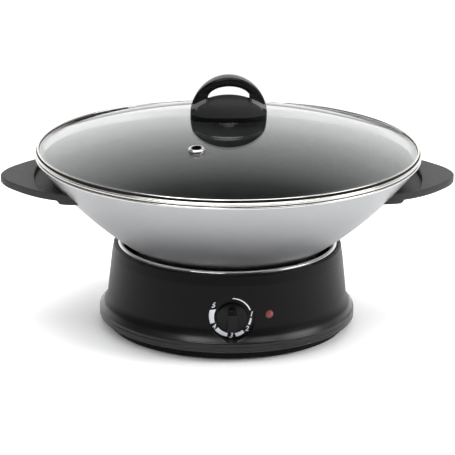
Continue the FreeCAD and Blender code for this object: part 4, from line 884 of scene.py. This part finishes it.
def dialBarSide():
    # the finger bar from the side, from its upper root over its face to its lower root
    knob = dialKnob
    root = knob["hubH"] - knob["sink"]
    faceOut = knob["faceOut"]
    crownUp, crownDown = knob["crown"]
    (middleDown, middleIn), (endDown, endIn) = knob["noseMiddle"], knob["noseEnd"]
    return profile((knob["barUp"], root), [
        (knob["barUp"] - knob["shoulderIn"], knob["shoulderOut"]),
        (knob["faceUp"] + knob["rampUp"], knob["rampOut"], knob["faceUp"], faceOut - crownUp),
        (0, faceOut),
        (knob["faceDown"], faceOut - crownDown),
        (knob["faceDown"] - middleDown, faceOut - middleIn, knob["faceDown"] - endDown, faceOut - endIn),
        (knob["barDown"], root),
    ], knob["arcSteps"])


def dialBarHalfWidth(up, out):
    # narrower towards the face, and rounded off at the upper end
    share = (out - dialKnob["hubH"]) / (dialKnob["faceOut"] - dialKnob["hubH"])
    reach = max(0.0, (up - dialKnob["roundFrom"]) / (dialKnob["barUp"] - dialKnob["roundFrom"]))
    rounding = sqrt(max(dialKnob["tipWidth"], 1 - reach ** 2))
    return between(dialKnob["barHalfW"], dialKnob["faceHalfW"], min(1.0, max(0.0, share))) * rounding


def makeDialKnob():
    # a flat skirt with a raised finger bar, which is made a metre to each side and then drawn in
    bm = lathe(dialSkirt(), dialKnob["segments"])
    side = [bm.verts.new((-1.0, up * mm, out * mm)) for up, out in dialBarSide()]
    bar = side + extrudeFaces(bm, [bm.faces.new(side)], (2.0, 0, 0))
    for vert in bar:
        vert.co.x *= dialBarHalfWidth(vert.co.y / mm, vert.co.z / mm) * mm
    edges = [edge for edge in bm.edges if all(vert in bar for vert in edge.verts) and
             edge.verts[0].co.x * edge.verts[1].co.x > 0 and
             max(vert.co.z for vert in edge.verts) > dialKnob["hubH"] * mm]
    bevelEdges(bm, edges, dialKnob["edge"], dialKnob["edgeSegments"])
    bmesh.ops.recalc_face_normals(bm, faces=bm.faces)
    bmesh.ops.transform(bm, matrix=facingFront(dialPoint(0, 0)), verts=bm.verts)
    finishPiece(bm, "dialKnob", "dial", [dialBlack], replaces="control_knob", sharpAngle=40)


def addBar(bm, ends, inner, outer, slant):
    # a thin curved bar of ink, bent from a grid
    steps = max(2, round((ends[1] - ends[0]) / dialPrint["barStep"]))
    verts = bmesh.ops.create_grid(bm, x_segments=steps, y_segments=1, size=1.0)["verts"]
    for vert in verts:
        share = (vert.co.x + 1) / 2
        isInner = vert.co.y < 0
        radius = between(*(inner if isInner else outer), share)
        degrees = between(*ends, share) + (slant * share if isInner else 0.0)
        vert.co = dialPoint(radius, degrees, dialPrint["ink"])
    faces = list(dict.fromkeys(face for vert in verts for face in vert.link_faces))
    for vert in extrudeFaces(bm, faces):
        vert.co.y = dialPrint["faceY"] * mm


def addDigit(bm, text, degrees, radius):
    curve = bpy.data.curves.new("digit" + text, "FONT")
    curve.body = text
    curve.size = dialPrint["digitSize"] * mm
    curve.shear = dialPrint["digitShear"]
    curve.offset = dialPrint["digitWeight"] * mm
    curve.extrude = dialPrint["ink"] * mm / 2
    curve.align_x = "CENTER"
    curve.align_y = "CENTER"
    holder = bpy.data.objects.new("digit" + text, curve)
    mesh = bpy.data.meshes.new_from_object(holder)
    mesh.transform(facingFront(dialPoint(radius, degrees, dialPrint["ink"] / 2)))
    bm.from_mesh(mesh)
    bpy.data.objects.remove(holder)
    bpy.data.meshes.remove(mesh)


def makeDialPrint():
    bm = bmesh.new()
    for bar in dialPrint["bars"]:
        addBar(bm, *bar)
    for digit in dialPrint["digits"]:
        addDigit(bm, *digit)
    bmesh.ops.remove_doubles(bm, verts=bm.verts, dist=micron)
    bmesh.ops.recalc_face_normals(bm, faces=bm.faces)
    finishPiece(bm, "dialScale", "base", [scaleWhite])


makeDialPrint()
makeDialKnob()
print("dial made")


# reflected holds the room's levels from the back, at 0, over the top, at 0.5, to the front, at 1
studio = {
    "floorHalf": 6.0, "floorLevel": 0.8, "floorGain": 0.38, "fadeFrom": 0.45, "fadeTo": 0.9,
    "skyDiffuse": 0.5, "skySeen": 1.0, "mirrorGain": 1.25,
    "reflected": [(0.0, 1.0), (0.10, 1.0), (0.16, 0.8), (0.21, 0.56), (0.235, 0.38), (0.265, 0.12),
                  (0.29, 0.02), (0.45, 0.04), (0.50, 0.25), (0.56, 0.25), (0.66, 0.05), (0.95, 0.03),
                  (0.985, 0.12), (1.0, 0.4)],
    "leftLevel": 0.15, "rightLevel": 0.5, "sideFrom": 0.5, "sideTo": 0.95,
}

# a lamp's rays say what it lights: plain surfaces, reflections or both
lamps = [
    {"name": "overheadSoftbox", "place": (0.0, -0.25, 1.9), "size": (2.0, 1.3), "power": 35, "rays": "both"},
    {"name": "leftKey", "place": (-0.5, -1.05, 1.3), "size": (0.9, 0.75), "power": 8, "rays": "glossy"},
    {"name": "rightKey", "place": (1.6, -0.3, 1.35), "size": (1.2, 1.0), "power": 11, "rays": "glossy"},
    {"name": "frontFill", "place": (0.2, -2.1, 1.1), "size": (1.6, 0.8), "power": 8, "rays": "diffuse"},
    {"name": "rightFill", "place": (2.0, -0.4, 0.7), "size": (0.8, 1.2), "power": 30, "rays": "diffuse"},
    {"name": "leftFill", "place": (-2.0, -0.4, 0.7), "size": (0.8, 1.2), "power": 9, "rays": "diffuse"},
    {"name": "backWash", "place": (0.3, 1.7, 1.4), "size": (2.4, 1.0), "power": 12, "rays": "diffuse"},
]
lampAim = (0, 0, 0.1)

shot = {
    "target": (0, 0, 0.0925), "distance": 2.5, "azimuth": -2.6, "elevation": 17.01, "roll": 0.57,
    "lens": 210.8, "sensor": 36.0, "clip": (0.1, 50.0),
}


def grey(level):
    return (level, level, level, 1)


def makeFloor():
    bm = bmesh.new()
    bmesh.ops.create_grid(bm, x_segments=4, y_segments=4, size=studio["floorHalf"])
    mesh = bpy.data.meshes.new("floor")
    bm.to_mesh(mesh)
    bm.free()
    floor = bpy.data.objects.new("floor", mesh)
    bpy.context.scene.collection.objects.link(floor)
    material, tree, shader = newMaterial("floorWhite")
    shader.inputs["Base Color"].default_value = grey(studio["floorLevel"])
    shader.inputs["Roughness"].default_value = 0.9
    shader.inputs["Specular IOR Level"].default_value = 0.0
    extra = addNode(tree, "ShaderNodeBsdfDiffuse")
    extra.inputs["Color"].default_value = grey(studio["floorGain"])
    brighter = addNode(tree, "ShaderNodeAddShader")
    feed(tree, brighter.inputs[0], shader.outputs[0])
    feed(tree, brighter.inputs[1], extra.outputs[0])
    # away from the object the floor fades to a plain white ground for the camera
    spread = addNode(tree, "ShaderNodeVectorMath", operation="LENGTH")
    feed(tree, spread.inputs[0], objectPlace(tree))
    fade = remap(tree, spread.outputs["Value"], studio["fadeFrom"], studio["fadeTo"], 0.0, 1.0)
    white = addNode(tree, "ShaderNodeEmission").outputs[0]
    seen = blendShader(tree, fade, brighter.outputs[0], white)
    fromCamera = addNode(tree, "ShaderNodeLightPath").outputs["Is Camera Ray"]
    surface = blendShader(tree, fromCamera, shader.outputs[0], seen)
    feed(tree, tree.nodes["Material Output"].inputs["Surface"], surface)
    mesh.materials.append(material)


def reflectedRoom(tree):
    # levels along the pitch of a direction, with a plain level at the far left and the far right
    x, y, z = splitAxes(tree, addNode(tree, "ShaderNodeTexCoord").outputs["Generated"])
    pitch = calc(tree, "DIVIDE", calc(tree, "ARCTAN2", z, y), pi)
    ramp = addNode(tree, "ShaderNodeValToRGB")
    feed(tree, ramp.inputs[0], calc(tree, "ABSOLUTE", pitch))
    stops = ramp.color_ramp.elements
    while len(stops) > 1:
        stops.remove(stops[-1])
    for index, (spot, level) in enumerate(studio["reflected"]):
        stop = stops[0] if index == 0 else stops.new(spot)
        stop.position = spot
        stop.color = grey(level)
    room = ramp.outputs["Color"]
    for side, key in ((-1, "leftLevel"), (1, "rightLevel")):
        sideward = remap(tree, x, side * studio["sideFrom"], side * studio["sideTo"], 0.0, 1.0)
        room = blendColor(tree, sideward, room, grey(studio[key]))
    return brighten(tree, room, studio["mirrorGain"])


def makeSky():
    # the camera sees white, also through glass; reflections show the room; the rest is plain soft light
    world = bpy.data.worlds.new("studioWorld")
    bpy.context.scene.world = world
    world.use_nodes = True
    tree = world.node_tree
    mirrored = reflectedRoom(tree)
    rays = addNode(tree, "ShaderNodeLightPath").outputs
    bounced = calc(tree, "ADD", rays["Diffuse Depth"], rays["Glossy Depth"], clamp=True)
    direct = calc(tree, "SUBTRACT", 1.0, bounced)
    through = calc(tree, "MULTIPLY", rays["Is Transmission Ray"], direct)
    seen = calc(tree, "MAXIMUM", rays["Is Camera Ray"], through)
    glossy = calc(tree, "MINIMUM", rays["Glossy Depth"], 1.0)
    soft = calc(tree, "MINIMUM", rays["Diffuse Depth"], 1.0)
    onlyGlossy = calc(tree, "MULTIPLY", glossy, calc(tree, "SUBTRACT", 1.0, soft))
    lit = blendColor(tree, onlyGlossy, grey(studio["skyDiffuse"]), mirrored)
    final = blendColor(tree, seen, lit, grey(studio["skySeen"]))
    feed(tree, tree.nodes["Background"].inputs["Color"], final)


def makeLamps():
    for lamp in lamps:
        light = bpy.data.lights.new(lamp["name"], "AREA")
        light.shape = "RECTANGLE"
        light.size, light.size_y = lamp["size"]
        light.energy = lamp["power"]
        holder = bpy.data.objects.new(lamp["name"], light)
        holder.location = lamp["place"]
        aim = Vector(lampAim) - holder.location
        holder.rotation_euler = aim.to_track_quat("-Z", "Y").to_euler()
        holder.visible_transmission = False
        holder.visible_diffuse = lamp["rays"] != "glossy"
        holder.visible_glossy = lamp["rays"] != "diffuse"
        holder.visible_camera = False
        bpy.context.scene.collection.objects.link(holder)


def makeCamera():
    turn, rise = radians(shot["azimuth"]), radians(shot["elevation"])
    back = Vector((sin(turn) * cos(rise), -cos(turn) * cos(rise), sin(rise)))
    camera = bpy.data.cameras.new("shotCamera")
    camera.lens = shot["lens"]
    camera.sensor_width = shot["sensor"]
    camera.clip_start, camera.clip_end = shot["clip"]
    holder = bpy.data.objects.new("shotCamera", camera)
    holder.location = Vector(shot["target"]) + back * shot["distance"]
    holder.rotation_mode = "QUATERNION"
    tilt = Quaternion((0, 0, 1), radians(shot["roll"]))
    holder.rotation_quaternion = (-back).to_track_quat("-Z", "Y") @ tilt
    bpy.context.scene.collection.objects.link(holder)
    bpy.context.scene.camera = holder


makeFloor()
makeSky()
makeLamps()
makeCamera()
bpy.context.scene.view_settings.view_transform = "Standard"
print("studio made")
